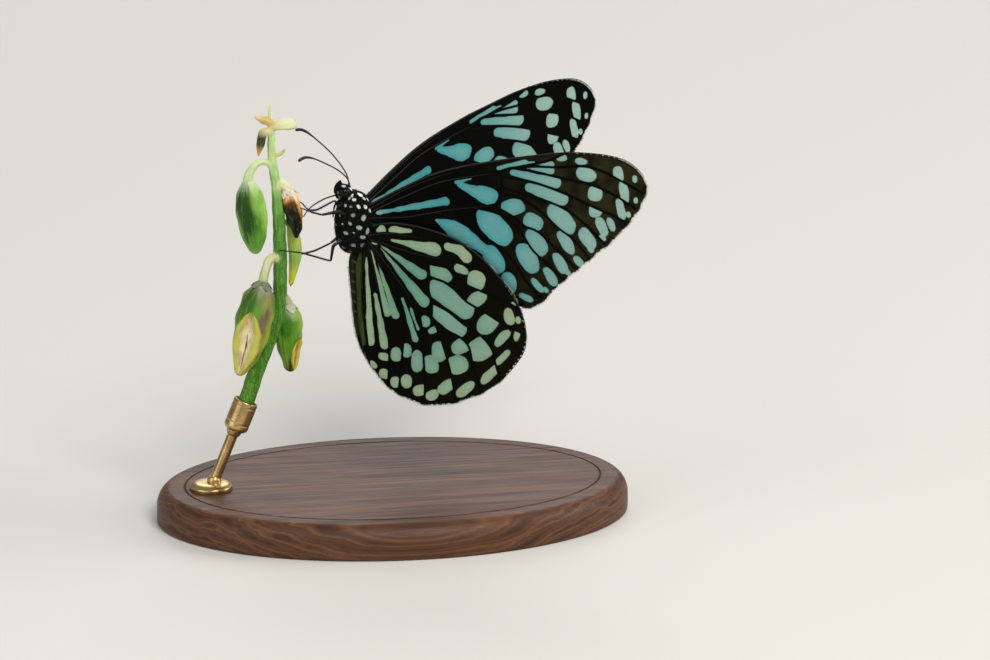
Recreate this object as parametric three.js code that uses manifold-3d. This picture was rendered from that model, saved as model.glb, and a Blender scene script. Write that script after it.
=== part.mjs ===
// A blue tiger butterfly (genus Tirumala) at life size, clinging head up to a cut rattlepod stem
// and drinking from a dried pod, with its wings half open, on a plain display stand.
// Millimetres, +Z up. The origin is the middle of the stand's underside.
// +X is the way the butterfly's back faces, and +Y is its right side.

import * as THREE from 'three';
import { mergeVertices } from 'three/addons/utils/BufferGeometryUtils.js';
import Module from 'manifold-3d';

const wasm = await Module();
wasm.setup();

// Driving dimensions

const clearance = 0.2; // left between pieces that touch
const hingeHeight = 52; // the forewing hinges above the table
const hingeSetback = 4; // how far the hinges stand in front of the stand's middle

const wingThickness = 0.5;
const wingCamber = 0.6; // how far the middle of a forewing bows outwards
const wingSpan = 50; // length of a forewing, over which it bows
const bladeReach = 0.98; // share of the edge curves that a blade covers, so its tip stays blunt

// Hinge places are for the right side. Spread is the angle to the plane that halves the body,
// and lift turns the wing forwards about its hinge, both in degrees. A blade has as many faces
// as along and across say, and crowding draws them towards its trailing edge.
const forewing = {
  hinge: [0, 2.4, 0],
  spread: { left: 28.5, right: 27 },
  lift: { left: 0, right: 1.5 },
  tuck: 0,
  tuckStart: -2,
  along: 24,
  across: 4,
  crowding: 1,
  leading: [[-1, 2.6], [5, 6.3], [10.8, 9.4], [16, 11.3], [21.5, 12.8], [27.5, 14.2], [34, 15.4],
    [40, 15.7], [44.8, 15], [47.6, 13], [48.8, 10.8]],
  trailing: [[-1, -2.4], [6, -4], [12.5, -6.4], [19, -9.3], [25, -11.6], [29.3, -11.7], [34, -7],
    [39, -2.5], [43.8, 2], [47.4, 7], [48.8, 10.8]],
};

// The inner margin of a hindwing folds in beside the abdomen, by the angle tuck, over the strip
// that lies closer to the hinge than tuckStart.
const hindwing = {
  hinge: [-0.65, 2.8, -2.5],
  spread: { left: 29.7, right: 28.2 },
  lift: { left: 0, right: 0 },
  tuck: 42,
  tuckStart: 1.6,
  along: 20,
  across: 6,
  crowding: 1.7,
  leading: [[0.9, 2.3], [4.8, 3.1], [10.2, 2.8], [15.6, 1.5], [20.2, -1.1], [23.8, -4.5], [26.5, -7.9],
    [28.2, -12.2], [28.2, -16.4], [26.2, -19.8], [23.4, -22.9], [20, -25.3]],
  trailing: [[-1.5, -3.2], [-2.1, -5.6], [-1.9, -9], [-1.6, -13], [-1.2, -16.8], [-0.4, -20.2], [1.2, -23.2],
    [3.8, -25.7], [7, -27.3], [10.8, -28], [15.2, -27.3], [20, -25.3]],
};
const tuckWidth = 4; // width of the folded strip

// Stations of the body, from tail to head: height, belly line, back line and half width.
const thoraxStations = [[-6.2, -2.6, -2.6, 0], [-5.7, -4.3, -0.4, 1.5], [-4.4, -5.4, 0.6, 2.3],
  [-2.2, -5.95, 1.15, 2.85], [0.2, -6, 1.35, 3], [2.3, -5.5, 1, 2.75], [3.8, -4.7, 0.2, 2.2],
  [4.9, -3.7, -0.8, 1.5], [5.4, -2.4, -2.4, 0]];
const abdomenStations = [[-18.4, -1.5, -1.5, 0], [-17.3, -2.4, -0.2, 1.1], [-14.5, -2.9, 0.7, 1.8],
  [-11, -3.05, 1.15, 2.1], [-7, -3, 1.1, 2], [-5.2, -2.6, 0.4, 1.4], [-4.6, -1.2, -1.2, 0]];

const headCentre = [-4.15, 0, 4.85];
const headRadii = [1.55, 1.5, 1.6];
const eyeCentre = [-4.35, 1.2, 5.1];
const eyeRadii = [1.02, 0.85, 1.05];

const palp = {
  path: [[-4.7, 0.45, 4.4], [-5.5, 0.5, 4.9], [-5.3, 0.5, 6], [-4.6, 0.5, 6.9]],
  radii: [0.34, 0.4, 0.36, 0.26],
};
const proboscis = {
  path: [[-5, 0, 4.6], [-7.6, 0, 3.85], [-9.95, 0, 2.45], [-11.15, 0, 0.9]],
  radii: [0.32, 0.27, 0.26, 0.26],
};
const feelerRadii = [0.28, 0.26, 0.26, 0.26, 0.27, 0.3, 0.38, 0.42, 0.4, 0.28];
const feelers = {
  antenna_left: [[-3.3, -0.6, 5.9], [-3.75, -1.27, 7.44], [-5.41, -2.68, 9.36], [-8.09, -4.55, 11.35],
    [-10.76, -6.33, 12.94], [-12.1, -7.2, 13.3], [-13.26, -8, 12.99]],
  antenna_right: [[-3.2, 0.6, 5.9], [-3.46, 1.71, 7.46], [-5.23, 3.66, 10.13], [-7.48, 5.53, 12.28],
    [-9.57, 7.08, 13.8], [-10.42, 7.59, 14], [-11.13, 8, 13.8]],
};

// Each leg runs from inside the thorax over its knee and ankle to the claws. Those of the mid
// and hind legs hold the plant, and the forelegs are short and folded, as in all its family.
const legRadii = [0.5, 0.45, 0.36, 0.32, 0.3, 0.27, 0.26];
const legs = {
  foreleg_left: [[-4.4, -0.9, 2.9], [-5.4, -1.1, 2.9], [-5.75, -1.05, 1.8], [-5.95, -0.8, 0.4]],
  foreleg_right: [[-4.4, 0.9, 2.9], [-5.4, 1.1, 2.9], [-5.75, 1.05, 1.8], [-5.95, 0.8, 0.4]],
  midleg_left: [[-4, -1.6, 1.2], [-5.4, -2.5, 2.3], [-8.9, -5.5, 2.73], [-10.25, -2.8, 2.53],
    [-11.5, -1, 2.7]],
  midleg_right: [[-4, 1.6, 0.8], [-5, 4.6, 2.2], [-8.4, 2.5, 1.29], [-9.63, 1.9, 1.45],
    [-10.3, 1.6, 1.9], [-11.15, 1.3, 3], [-11.7, 1.4, 3.3]],
  hindleg_left: [[-4.2, -1.2, -2.6], [-6.4, -2, -3.8], [-7.42, -5.6, -5.39], [-11.89, -2.9, -4.47],
    [-15.5, -1.6, -4.25]],
  hindleg_right: [[-4.2, 1.2, -2.6], [-5.72, 4.5, -5.2], [-8.6, 3.2, -6], [-10.6, 2.6, -6.25],
    [-11.7, 2.9, -6.5], [-12.6, 3.1, -6.9]],
};

const stem = {
  path: [[-22.4, 0, -34.4], [-20.87, 0, -30.6], [-19.25, 0, -25.8], [-17.7, 0, -21.8], [-16.1, 0, -18.2],
    [-15.25, 0, -13.3], [-15.1, 0, -4.6], [-15.35, 0, 1.56], [-15.74, 0, 6.84], [-16.42, 0, 11.27],
    [-16.5, 0, 15.66]],
  radii: [1.35, 1.35, 1.35, 1.3, 1.25, 1.25, 1.2, 1.15, 1.05, 0.95, 0.8],
};
// Buds, a bract and the stalks of the pods, all of them grown out of the stem.
const shoots = {
  tip: { path: [[-16.5, 0, 15.2], [-16.65, 0, 18], [-16.6, 0, 20.9]], radii: [0.8, 0.7, 0.35] },
  bud: {
    path: [[-16.4, 0, 16.6], [-15.2, -0.4, 17.2], [-13.4, -0.6, 17.3], [-12.2, -0.6, 16.8]],
    radii: [0.6, 1, 1.1, 0.5],
  },
  smallBud: { path: [[-16.5, 0, 17.4], [-17.9, -0.2, 18.2], [-19.4, -0.3, 18.9]], radii: [0.6, 0.75, 0.3] },
  witheredBud: {
    path: [[-16.6, 0, 15.9], [-17.9, -0.3, 16], [-18.5, -0.4, 13.6], [-18.8, -0.4, 10.6]],
    radii: [0.55, 0.8, 0.75, 0.3],
  },
  bract: { path: [[-16.2, 0, 11.8], [-15.1, -0.3, 12.1], [-14.1, -0.5, 13.1]], radii: [0.4, 0.33, 0.26] },
  greenStalk: {
    path: [[-16.3, 0, 9.4], [-17.3, -0.2, 10.7], [-18.9, -0.4, 10.8], [-20.1, -0.6, 9.6], [-20.6, -0.6, 8.4]],
    radii: [0.7, 0.75, 0.8, 0.8, 0.75],
  },
  brownStalk: { path: [[-15.7, 0, 6.2], [-15, -0.2, 7.1], [-14.4, -0.3, 6.7]], radii: [0.8, 0.8, 0.85] },
  splitStalk: {
    path: [[-15.4, 0, -5.8], [-16.9, -0.9, -5.9], [-17.8, -1.4, -7.6], [-18.2, -1.7, -9]],
    radii: [0.8, 0.8, 0.75, 0.85],
  },
  lowerStalk: { path: [[-15.3, 0, -12.6], [-14.5, 0.6, -13], [-13.7, 0.9, -13.9]], radii: [0.8, 0.75, 0.75] },
};
const pods = {
  perch_pod_brown: {
    path: [[-14.1, -0.35, 6.4], [-13.6, -0.4, 5.1], [-13.1, -0.5, 3], [-12.75, -0.5, 0.9], [-12.4, -0.5, -0.9],
      [-12.45, -0.5, -2.6]],
    radii: [0.7, 1.2, 1.5, 1.45, 1, 0.35],
    colour: 0x8a5a1c,
  },
  perch_pod_yellow: {
    path: [[-13.4, 1.3, 0.6], [-12.6, 1.6, -2.6], [-12.3, 1.5, -6], [-13.1, 1.2, -11.2]],
    radii: [0.5, 1.05, 1.1, 0.4],
    colour: 0xa8c25c,
  },
  perch_pod_green: {
    path: [[-20.6, -0.6, 8.2], [-20.4, -0.7, 5.6], [-20, -0.8, 2], [-19.6, -0.8, -2], [-19.3, -0.8, -4.9]],
    radii: [1, 2.3, 2.6, 2.1, 0.7],
    colour: 0x79ad46,
  },
  perch_pod_split: {
    path: [[-18.2, -1.8, -9.2], [-18.9, -2.1, -12], [-20, -2.3, -16.5], [-21.3, -2.3, -21.5], [-22.6, -2.3, -25.6]],
    radii: [1, 2.7, 3.1, 2.5, 1],
    colour: 0x9fae4b,
  },
  perch_pod_lower: {
    path: [[-13.6, 1, -14.2], [-13.3, 1.1, -17], [-13.2, 1.1, -21], [-12.9, 1.1, -26.4]],
    radii: [1, 2.1, 2, 0.8],
    colour: 0x86a43c,
  },
};

const baseSize = [40, 27, 6]; // half length, half width and height of the oval base
const baseProfile = [[0, 0], [0.985, 0], [1, 0.1], [1, 0.55], [0.985, 0.8], [0.945, 1], [0, 1]];
const rodRadius = 0.9;
const cupRadius = 2.1;
const cupLength = 5.5;
const cupFloor = 1.5; // solid metal under the end of the stem
const footRadius = 3.6;
const footHeight = 1.2;

// Shapes

const vector = (point) => new THREE.Vector3(...point);

// A cylinder bent along a smooth path, with its radius given at even steps.
function limb({ path, radii }, { sides = 7, steps = 14, grow = 0 } = {}) {
  const curve = new THREE.CatmullRomCurve3(path.map(vector));
  const { normals, binormals } = curve.computeFrenetFrames(steps);
  const taper = new THREE.SplineCurve(radii.map((radius, i) => new THREE.Vector2(i, radius)));
  const tube = new THREE.CylinderGeometry(1, 1, 1, sides, steps);
  const position = tube.attributes.position;
  for (let i = 0; i < position.count; i++) {
    const t = 0.5 - position.getY(i);
    const ring = Math.round(t * steps);
    const radius = taper.getPoint(t).y + grow;
    const point = curve.getPointAt(t)
      .addScaledVector(normals[ring], radius * position.getX(i))
      .addScaledVector(binormals[ring], radius * position.getZ(i));
    position.setXYZ(i, point.x, point.y, point.z);
  }
  return tube;
}

// A closed oval body drawn through stations of height, belly line, back line and half width.
function loft(stations, { around = 18, along = 12, grow = 0 } = {}) {
  const line = (column) => new THREE.SplineCurve(stations.map((row) => new THREE.Vector2(row[column], row[0])));
  const [belly, back, flank] = [line(1), line(2), line(3)];
  const body = new THREE.SphereGeometry(1, around, along).rotateX(Math.PI / 2);
  const position = body.attributes.position;
  for (let i = 0; i < position.count; i++) {
    const [x, y, z] = [position.getX(i), position.getY(i), position.getZ(i)];
    const t = Math.acos(THREE.MathUtils.clamp(-z, -1, 1)) / Math.PI;
    const ringRadius = Math.max(Math.hypot(x, y), 1e-6);
    const low = belly.getPoint(t);
    const high = back.getPoint(t);
    const depth = (high.x - low.x) / 2 + grow * ringRadius;
    const width = flank.getPoint(t).x + grow * ringRadius;
    position.setXYZ(i, (low.x + high.x) / 2 + depth * x / ringRadius, width * y / ringRadius, low.y + grow * z);
  }
  return body;
}

function ellipsoid(centre, radii, grow = 0) {
  return new THREE.SphereGeometry(1, 14, 9)
    .scale(...radii.map((radius) => radius + grow))
    .translate(...centre);
}

// A thin blade ruled between a wing's two edges, set on its hinge at the right or the left.
function wingBlade(wing, side) {
  const edge = (points) => new THREE.SplineCurve(points.map(([x, y]) => new THREE.Vector2(x, y)));
  const leading = edge(wing.leading);
  const trailing = edge(wing.trailing);
  const spread = THREE.MathUtils.degToRad(wing.spread[side]);
  const lift = THREE.MathUtils.degToRad(wing.lift[side]);
  const blade = new THREE.BoxGeometry(1, 1, 1, wing.along, wing.across, 1);
  const position = blade.attributes.position;
  for (let i = 0; i < position.count; i++) {
    const u = (position.getX(i) + 0.5) * bladeReach;
    const v = (position.getY(i) + 0.5) ** wing.crowding;
    const spot = trailing.getPoint(u).lerp(leading.getPoint(u), v);
    spot.rotateAround(new THREE.Vector2(0, 0), lift);
    const place = foldedPlace(wing, spot.x, spread);
    const bow = -wingCamber * Math.sin(Math.PI * Math.max(spot.x, 0) / wingSpan);
    const offset = bow + wingThickness * position.getZ(i);
    position.setXYZ(
      i,
      wing.hinge[0] + place.x + offset * Math.sin(place.angle),
      wing.hinge[1] + place.y - offset * Math.cos(place.angle),
      wing.hinge[2] + spot.y,
    );
  }
  return side === 'left' ? mirrored(blade) : blade;
}

// Where a point lies, seen from above, at a distance out along a wing with its inner margin folded.
function foldedPlace(wing, distance, spread) {
  const inside = Math.max(wing.tuckStart - distance, 0);
  const outside = Math.max(wing.tuckStart, distance);
  const fold = THREE.MathUtils.degToRad(wing.tuck) * Math.min(inside / tuckWidth, 1);
  return {
    x: outside * Math.cos(spread) - inside * Math.cos(spread - fold / 2),
    y: outside * Math.sin(spread) - inside * Math.sin(spread - fold / 2),
    angle: spread - fold,
  };
}

// The same shape on the other side of the body, with its faces still pointing out.
function mirrored(geometry) {
  geometry.scale(1, -1, 1);
  const index = geometry.index;
  for (let i = 0; i < index.count; i += 3) {
    const first = index.getX(i);
    index.setX(i, index.getX(i + 1));
    index.setX(i + 1, first);
  }
  return geometry;
}

// Joining and cutting

function toSolid(geometry) {
  const bare = geometry.clone();
  bare.deleteAttribute('normal');
  bare.deleteAttribute('uv');
  const merged = mergeVertices(bare, 1e-5);
  const triangles = [];
  for (let i = 0; i < merged.index.count; i += 3) {
    const [a, b, c] = [0, 1, 2].map((k) => merged.index.getX(i + k));
    if (a !== b && b !== c && c !== a) triangles.push(a, b, c);
  }
  return new wasm.Manifold(new wasm.Mesh({
    numProp: 3,
    vertProperties: new Float32Array(merged.attributes.position.array),
    triVerts: new Uint32Array(triangles),
  }));
}

function toGeometry(manifold) {
  const mesh = manifold.getMesh();
  const geometry = new THREE.BufferGeometry();
  geometry.setAttribute('position', new THREE.BufferAttribute(new Float32Array(mesh.vertProperties), 3));
  geometry.setIndex(new THREE.BufferAttribute(new Uint32Array(mesh.triVerts), 1));
  geometry.computeVertexNormals();
  return geometry;
}

function carve(geometry, ...cutters) {
  return toGeometry(cutters.reduce((rest, cutter) => rest.subtract(toSolid(cutter)), toSolid(geometry)));
}

function join(...geometries) {
  return toGeometry(geometries.map(toSolid).reduce((whole, piece) => whole.add(piece)));
}

function piece(name, geometry, colour, roughness = 0.6, metalness = 0) {
  const mesh = new THREE.Mesh(geometry, new THREE.MeshStandardMaterial({ color: colour, roughness, metalness }));
  mesh.name = name;
  return mesh;
}

// The plant

const podDetail = { sides: 10, steps: 9 };
const shootDetail = { sides: 6, steps: 4 };

function stemGeometry(grow = 0) {
  return limb(stem, { sides: 9, steps: 20, grow });
}

function buildPlant() {
  const plant = new THREE.Group();
  const shootShapes = Object.values(shoots).map((shoot) => limb(shoot, shootDetail));
  const grownShoots = Object.values(shoots).map((shoot) => limb(shoot, { ...shootDetail, grow: clearance }));
  plant.add(piece('perch_stem', join(stemGeometry(), ...shootShapes), 0x7fae52, 0.55));
  const made = [];
  for (const [name, pod] of Object.entries(pods)) {
    plant.add(piece(name, carve(limb(pod, podDetail), stemGeometry(clearance), ...grownShoots, ...made), pod.colour));
    made.push(limb(pod, { ...podDetail, grow: clearance }));
  }
  return plant;
}

// The butterfly

const bodyBlack = 0x0b0c0a;
const wingBlue = 0x3f6f6c;

function mirroredPath(shape, side) {
  const sign = side === 'left' ? -1 : 1;
  return { ...shape, path: shape.path.map(([x, y, z]) => [x, sign * y, z]) };
}

function eye(side, grow = 0) {
  const sign = side === 'left' ? -1 : 1;
  return ellipsoid([eyeCentre[0], sign * eyeCentre[1], eyeCentre[2]], eyeRadii, grow);
}

function buildTrunk(cutters) {
  const trunk = new THREE.Group();
  const belly = carve(loft(abdomenStations), cutters.thorax);
  trunk.add(piece('head', carve(ellipsoid(headCentre, headRadii), ...cutters.eyes), bodyBlack, 0.8));
  trunk.add(piece('thorax', carve(loft(thoraxStations), cutters.head, ...cutters.eyes), bodyBlack, 0.8));
  trunk.add(piece('abdomen', belly, 0x1b1a14, 0.75));
  trunk.add(piece('proboscis', carve(limb(proboscis), cutters.head, cutters.brownPod), 0x16120c, 0.4));
  return trunk;
}

function buildPairs(cutters) {
  const pairs = new THREE.Group();
  for (const side of ['left', 'right']) {
    const palpShape = limb(mirroredPath(palp, side), { steps: 8 });
    const feeler = limb({ path: feelers[`antenna_${side}`], radii: feelerRadii }, { sides: 6, steps: 22 });
    const fore = wingBlade(forewing, side);
    const hind = wingBlade(hindwing, side);
    pairs.add(piece(`eye_${side}`, eye(side), 0x120d0a, 0.15));
    pairs.add(piece(`palp_${side}`, carve(palpShape, cutters.head, ...cutters.eyes, cutters.proboscis), bodyBlack, 0.8));
    pairs.add(piece(`antenna_${side}`, carve(feeler, cutters.head, ...cutters.eyes, cutters.thorax), bodyBlack, 0.5));
    pairs.add(piece(`forewing_${side}`, carve(fore, cutters.thorax), wingBlue, 0.7));
    pairs.add(piece(`hindwing_${side}`, carve(hind, cutters.thorax, cutters.abdomen), wingBlue, 0.7));
  }
  return pairs;
}

function buildLegs(cutters) {
  const group = new THREE.Group();
  const plantCutters = [stemGeometry(clearance), ...Object.values(pods).map((pod) => limb(pod, {
    ...podDetail,
    grow: clearance,
  }))];
  for (const [name, path] of Object.entries(legs)) {
    const shape = limb({ path, radii: legRadii }, { steps: name.startsWith('foreleg') ? 8 : 16 });
    group.add(piece(name, carve(shape, cutters.thorax, cutters.head, ...plantCutters), bodyBlack, 0.45));
  }
  return group;
}

function buildButterfly() {
  const butterfly = new THREE.Group();
  const cutters = {
    thorax: loft(thoraxStations, { grow: clearance }),
    abdomen: loft(abdomenStations, { grow: clearance }),
    head: ellipsoid(headCentre, headRadii, clearance),
    eyes: ['left', 'right'].map((side) => eye(side, clearance)),
    proboscis: limb(proboscis, { grow: clearance }),
    brownPod: limb(pods.perch_pod_brown, { ...podDetail, grow: clearance }),
  };
  butterfly.add(buildTrunk(cutters), buildPairs(cutters), buildLegs(cutters));
  return butterfly;
}

// The stand, in the same frame as the plant that it holds

function buildStand() {
  const stand = new THREE.Group();
  const tableTop = -hingeHeight;
  const profile = baseProfile.map(([x, y]) => new THREE.Vector2(x, y));
  const base = new THREE.LatheGeometry(profile, 36)
    .rotateX(Math.PI / 2)
    .scale(...baseSize)
    .translate(hingeSetback, 0, tableTop);

  const foot = tableTop + baseSize[2] + clearance;
  const [stemEnd, stemNext] = stem.path.slice(0, 2).map(vector);
  const down = stemEnd.clone().sub(stemNext).normalize();
  const along = (height) => stemEnd.clone().addScaledVector(down, (height - stemEnd.z) / down.z);
  const bottom = along(foot);
  const cupTop = stemEnd.clone().addScaledVector(down, cupFloor - cupLength);
  const cupBottom = stemEnd.clone().addScaledVector(down, cupFloor);
  const rod = limb({ path: [bottom.clone().addScaledVector(down, -0.5), stemEnd].map((p) => p.toArray()),
    radii: [rodRadius, rodRadius] }, { sides: 12, steps: 2 });
  const cup = limb({ path: [cupBottom, cupTop].map((p) => p.toArray()), radii: [cupRadius, cupRadius] },
    { sides: 16, steps: 2 });
  const disc = new THREE.CylinderGeometry(footRadius * 0.86, footRadius, footHeight, 20)
    .rotateX(Math.PI / 2)
    .translate(bottom.x, 0, foot + footHeight / 2);
  stand.add(piece('stand_base', base, 0x4a2f1c, 0.5));
  stand.add(piece('stand_rod', carve(join(rod, cup, disc), stemGeometry(clearance)), 0xb08d57, 0.3, 1));
  return stand;
}

const model = new THREE.Group();
model.name = 'blue_tiger_butterfly';
model.position.set(-hingeSetback, 0, hingeHeight);
model.add(buildButterfly(), buildPlant(), buildStand());

export default model;
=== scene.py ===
import math

import bmesh
import bpy
import numpy as np
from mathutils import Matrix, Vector
from mathutils.bvhtree import BVHTree
from mathutils.kdtree import KDTree


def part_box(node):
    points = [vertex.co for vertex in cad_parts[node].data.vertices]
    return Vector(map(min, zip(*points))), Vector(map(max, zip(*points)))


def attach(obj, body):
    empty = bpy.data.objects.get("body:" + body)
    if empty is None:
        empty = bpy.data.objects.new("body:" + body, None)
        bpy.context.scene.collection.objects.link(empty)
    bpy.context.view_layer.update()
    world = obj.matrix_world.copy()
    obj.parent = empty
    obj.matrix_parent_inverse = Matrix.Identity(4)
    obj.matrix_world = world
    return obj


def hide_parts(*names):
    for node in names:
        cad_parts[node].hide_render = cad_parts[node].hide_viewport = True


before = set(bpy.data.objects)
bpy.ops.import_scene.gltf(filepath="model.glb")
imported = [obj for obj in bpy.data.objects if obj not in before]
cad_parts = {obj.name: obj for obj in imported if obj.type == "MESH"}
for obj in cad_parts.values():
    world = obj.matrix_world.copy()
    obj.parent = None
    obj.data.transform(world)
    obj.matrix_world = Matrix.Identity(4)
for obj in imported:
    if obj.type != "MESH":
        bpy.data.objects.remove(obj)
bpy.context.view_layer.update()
print("frame loaded")

# Lengths are in millimetres, measured from the middle between the forewing hinges: +X is the way
# the back faces, +Y the butterfly's right and +Z the way its head points. The left eye's CAD node
# says where that middle lies in the model's own frame, which is in metres.
eyes = {
    "centre": (-4.35, 1.2, 5.1), "radii": (1.0, 0.83, 1.03), "rings": 40,
    "facetsPerMm": 22, "colours": ((3, 2, 2), (9, 6, 4)),
}
lowEye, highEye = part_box("eye_left")
leftEye = np.array(eyes["centre"]) * (1, -1, 1)
hingeMiddle = np.array((lowEye + highEye) / 2) * 1000 - leftEye


def toFrame(points):
    return (np.asarray(points, float) + hingeMiddle) / 1000


# Camera, lamps and floor

view = {
    "azimuth": -10,
    "elevation": 16.4,
    "distance": 3.0,
    "target": (0.01752, 0, 0.03148),
    "widthAtTarget": 0.16667,  # metres of the object's plane that the frame takes in
}
lamps = {
    # name: (place in metres, width in metres, power in watts, colour)
    "keyLamp": ((0.2, -0.8, 0.85), 0.5, 9.5, (1, 0.97, 0.92)),
    "fillLamp": ((-0.9, -0.5, 0.45), 0.8, 3.2, (0.93, 0.97, 1)),
    "sideLamp": ((0.95, -0.12, 0.5), 0.5, 5, (1, 0.98, 0.94)),
    "backLamp": ((0.2, 0.9, 0.7), 0.7, 4, (1, 1, 1)),
}
studio = {
    "floorWidth": 16,
    "floorColour": (216, 214, 208),
    "skyColour": (0.95, 0.97, 1, 1),
    "skyStrength": 0.3,
}


def tint(red, green, blue):
    # a colour as a paint program gives it, 0 to 255, made linear
    parts = [c / 255 for c in (red, green, blue)]
    return (*(c / 12.92 if c < 0.04045 else ((c + 0.055) / 1.055) ** 2.4 for c in parts), 1)


def newObject(name, data):
    made = bpy.data.objects.new(name, data)
    bpy.context.scene.collection.objects.link(made)
    return made


def setCamera():
    azimuth, elevation = math.radians(view["azimuth"]), math.radians(view["elevation"])
    level = math.cos(elevation)
    back = Vector((math.sin(azimuth) * level, -math.cos(azimuth) * level, math.sin(elevation)))
    camera = newObject("camera", bpy.data.cameras.new("camera"))
    camera.location = Vector(view["target"]) + back * view["distance"]
    camera.rotation_euler = back.to_track_quat("Z", "Y").to_euler()
    camera.data.lens = camera.data.sensor_width * view["distance"] / view["widthAtTarget"]
    bpy.context.scene.camera = camera


def setLamps():
    for name, (place, width, power, colour) in lamps.items():
        lamp = bpy.data.lights.new(name, "AREA")
        lamp.size, lamp.energy, lamp.color = width, power, colour
        holder = newObject(name, lamp)
        holder.location = place
        away = Vector(place) - Vector(view["target"])
        holder.rotation_euler = away.to_track_quat("Z", "Y").to_euler()


def setRoom():
    world = bpy.data.worlds.new("studioSky")
    world.use_nodes = True
    sky = world.node_tree.nodes["Background"].inputs
    sky["Color"].default_value = studio["skyColour"]
    sky["Strength"].default_value = studio["skyStrength"]
    bpy.context.scene.world = world
    bpy.context.scene.view_settings.view_transform = "Standard"
    half = studio["floorWidth"] / 2
    corners = [(-half, -half, 0), (half, -half, 0), (half, half, 0), (-half, half, 0)]
    mesh = bpy.data.meshes.new("floor")
    mesh.from_pydata(corners, [], [(0, 1, 2, 3)])
    mesh.materials.append(Paint("floorPaint", 0.8, 0.2).cover(tint(*studio["floorColour"])))
    newObject("floor", mesh)


# Nodes, for materials and for Geometry Nodes alike

class Flow:
    # what a node gives on, with short words for the nodes that it is led into

    def __init__(self, nodes, socket):
        self.nodes, self.socket = nodes, socket

    def other(self, output):
        return Flow(self.nodes, self.socket.node.outputs[output])

    def maths(self, operation, first, second):
        kind = "ShaderNodeVectorMath" if self.socket.type == "VECTOR" else "ShaderNodeMath"
        return self.nodes.add(kind, {0: first, 1: second}, operation=operation)

    def __add__(self, value):
        return self.maths("ADD", self, value)

    def __sub__(self, value):
        return self.maths("SUBTRACT", self, value)

    def __rsub__(self, value):
        return self.maths("SUBTRACT", value, self)

    def __mul__(self, value):
        return self.maths("MULTIPLY", self, value)

    def __truediv__(self, value):
        return self.maths("DIVIDE", self, value)

    def __pow__(self, value):
        return self.maths("POWER", self, value)

    def wavering(self, amount):
        # a noise of 0 to 1 as a number that goes as far below 0 as above it
        return (self - 0.5) * amount

    def scaled(self, factor):
        return self.nodes.add("ShaderNodeVectorMath", {0: self, "Scale": factor}, operation="SCALE")

    def normalised(self):
        return self.nodes.add("ShaderNodeVectorMath", {0: self}, operation="NORMALIZE")

    def length(self):
        return self.nodes.add("ShaderNodeVectorMath", {0: self}, "Value", operation="LENGTH")

    def upward(self):
        return self.nodes.add("ShaderNodeSeparateXYZ", {0: self}, "Z")

    def stretched(self, scale, shift=(0, 0, 0)):
        return self.nodes.add("ShaderNodeMapping", {"Vector": self, "Location": shift, "Scale": scale})

    def noise(self, scale, detail, roughness=0.5):
        feeds = {"Vector": self, "Scale": scale, "Detail": detail, "Roughness": roughness}
        return self.nodes.add("ShaderNodeTexNoise", feeds)

    def cells(self, scale):
        return self.nodes.add("ShaderNodeTexVoronoi", {"Vector": self, "Scale": scale}, "Distance")

    def spread(self, low, high, lowest=0.0, highest=1.0):
        # lowest to highest, smoothly, while the value goes from low to high
        ends = {"From Min": low, "From Max": high, "To Min": lowest, "To Max": highest}
        return self.nodes.add("ShaderNodeMapRange", {"Value": self, **ends}, interpolation_type="SMOOTHSTEP")

    def steps(self, stops):
        # the colours of stops, each at its own value between 0 and 1
        ramp = self.nodes.add("ShaderNodeValToRGB", {0: self})
        band = ramp.socket.node.color_ramp
        while len(band.elements) < len(stops):
            band.elements.new(0.5)
        for element, (place, colour) in zip(band.elements, stops):
            element.position = place
            element.color = tint(*colour)
        return ramp

    def between(self, first, second):
        # first's colour where the value is 0, second's where it is 1
        first, second = (c if isinstance(c, Flow) else tint(*c) for c in (first, second))
        return self.nodes.add("ShaderNodeMix", {0: self, 6: first, 7: second}, 2, data_type="RGBA")

    def under(self, colour, share):
        # this colour, with another over it
        return share.between(self, colour)


class Nodes:
    # a tree of nodes, of whatever kind

    def __init__(self, tree):
        self.tree = tree

    def feed(self, socket, value):
        if isinstance(value, Flow):
            self.tree.links.new(value.socket, socket)
        else:
            socket.default_value = value

    def add(self, kind, feeds=None, output=0, **settings):
        node = self.tree.nodes.new(kind)
        for key, value in settings.items():
            setattr(node, key, value)
        for key, value in (feeds or {}).items():
            self.feed(node.inputs[key], value)
        return Flow(self, node.outputs[output])


class Paint(Nodes):
    # a material, with the words for what its nodes read and what they paint

    def __init__(self, name, roughness, specular, more=None):
        self.material = bpy.data.materials.new(name)
        self.material.use_nodes = True
        super().__init__(self.material.node_tree)
        self.shader = self.tree.nodes["Principled BSDF"].inputs
        values = {"Roughness": roughness, "Specular IOR Level": specular, **(more or {})}
        for label, value in values.items():
            self.shader[label].default_value = value

    def noted(self, name, output="Fac"):
        return self.add("ShaderNodeAttribute", None, output, attribute_name=name)

    def place(self):
        return self.add("ShaderNodeTexCoord", None, "Object")

    def cover(self, colour, height=None, strength=0.0, depth=0.0):
        # the colour, and bumps that stand out by depth, in metres
        self.feed(self.shader["Base Color"], colour)
        if height:
            bump = self.add("ShaderNodeBump", {"Height": height, "Strength": strength, "Distance": depth})
            self.feed(self.shader["Normal"], bump)
        return self.material


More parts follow.
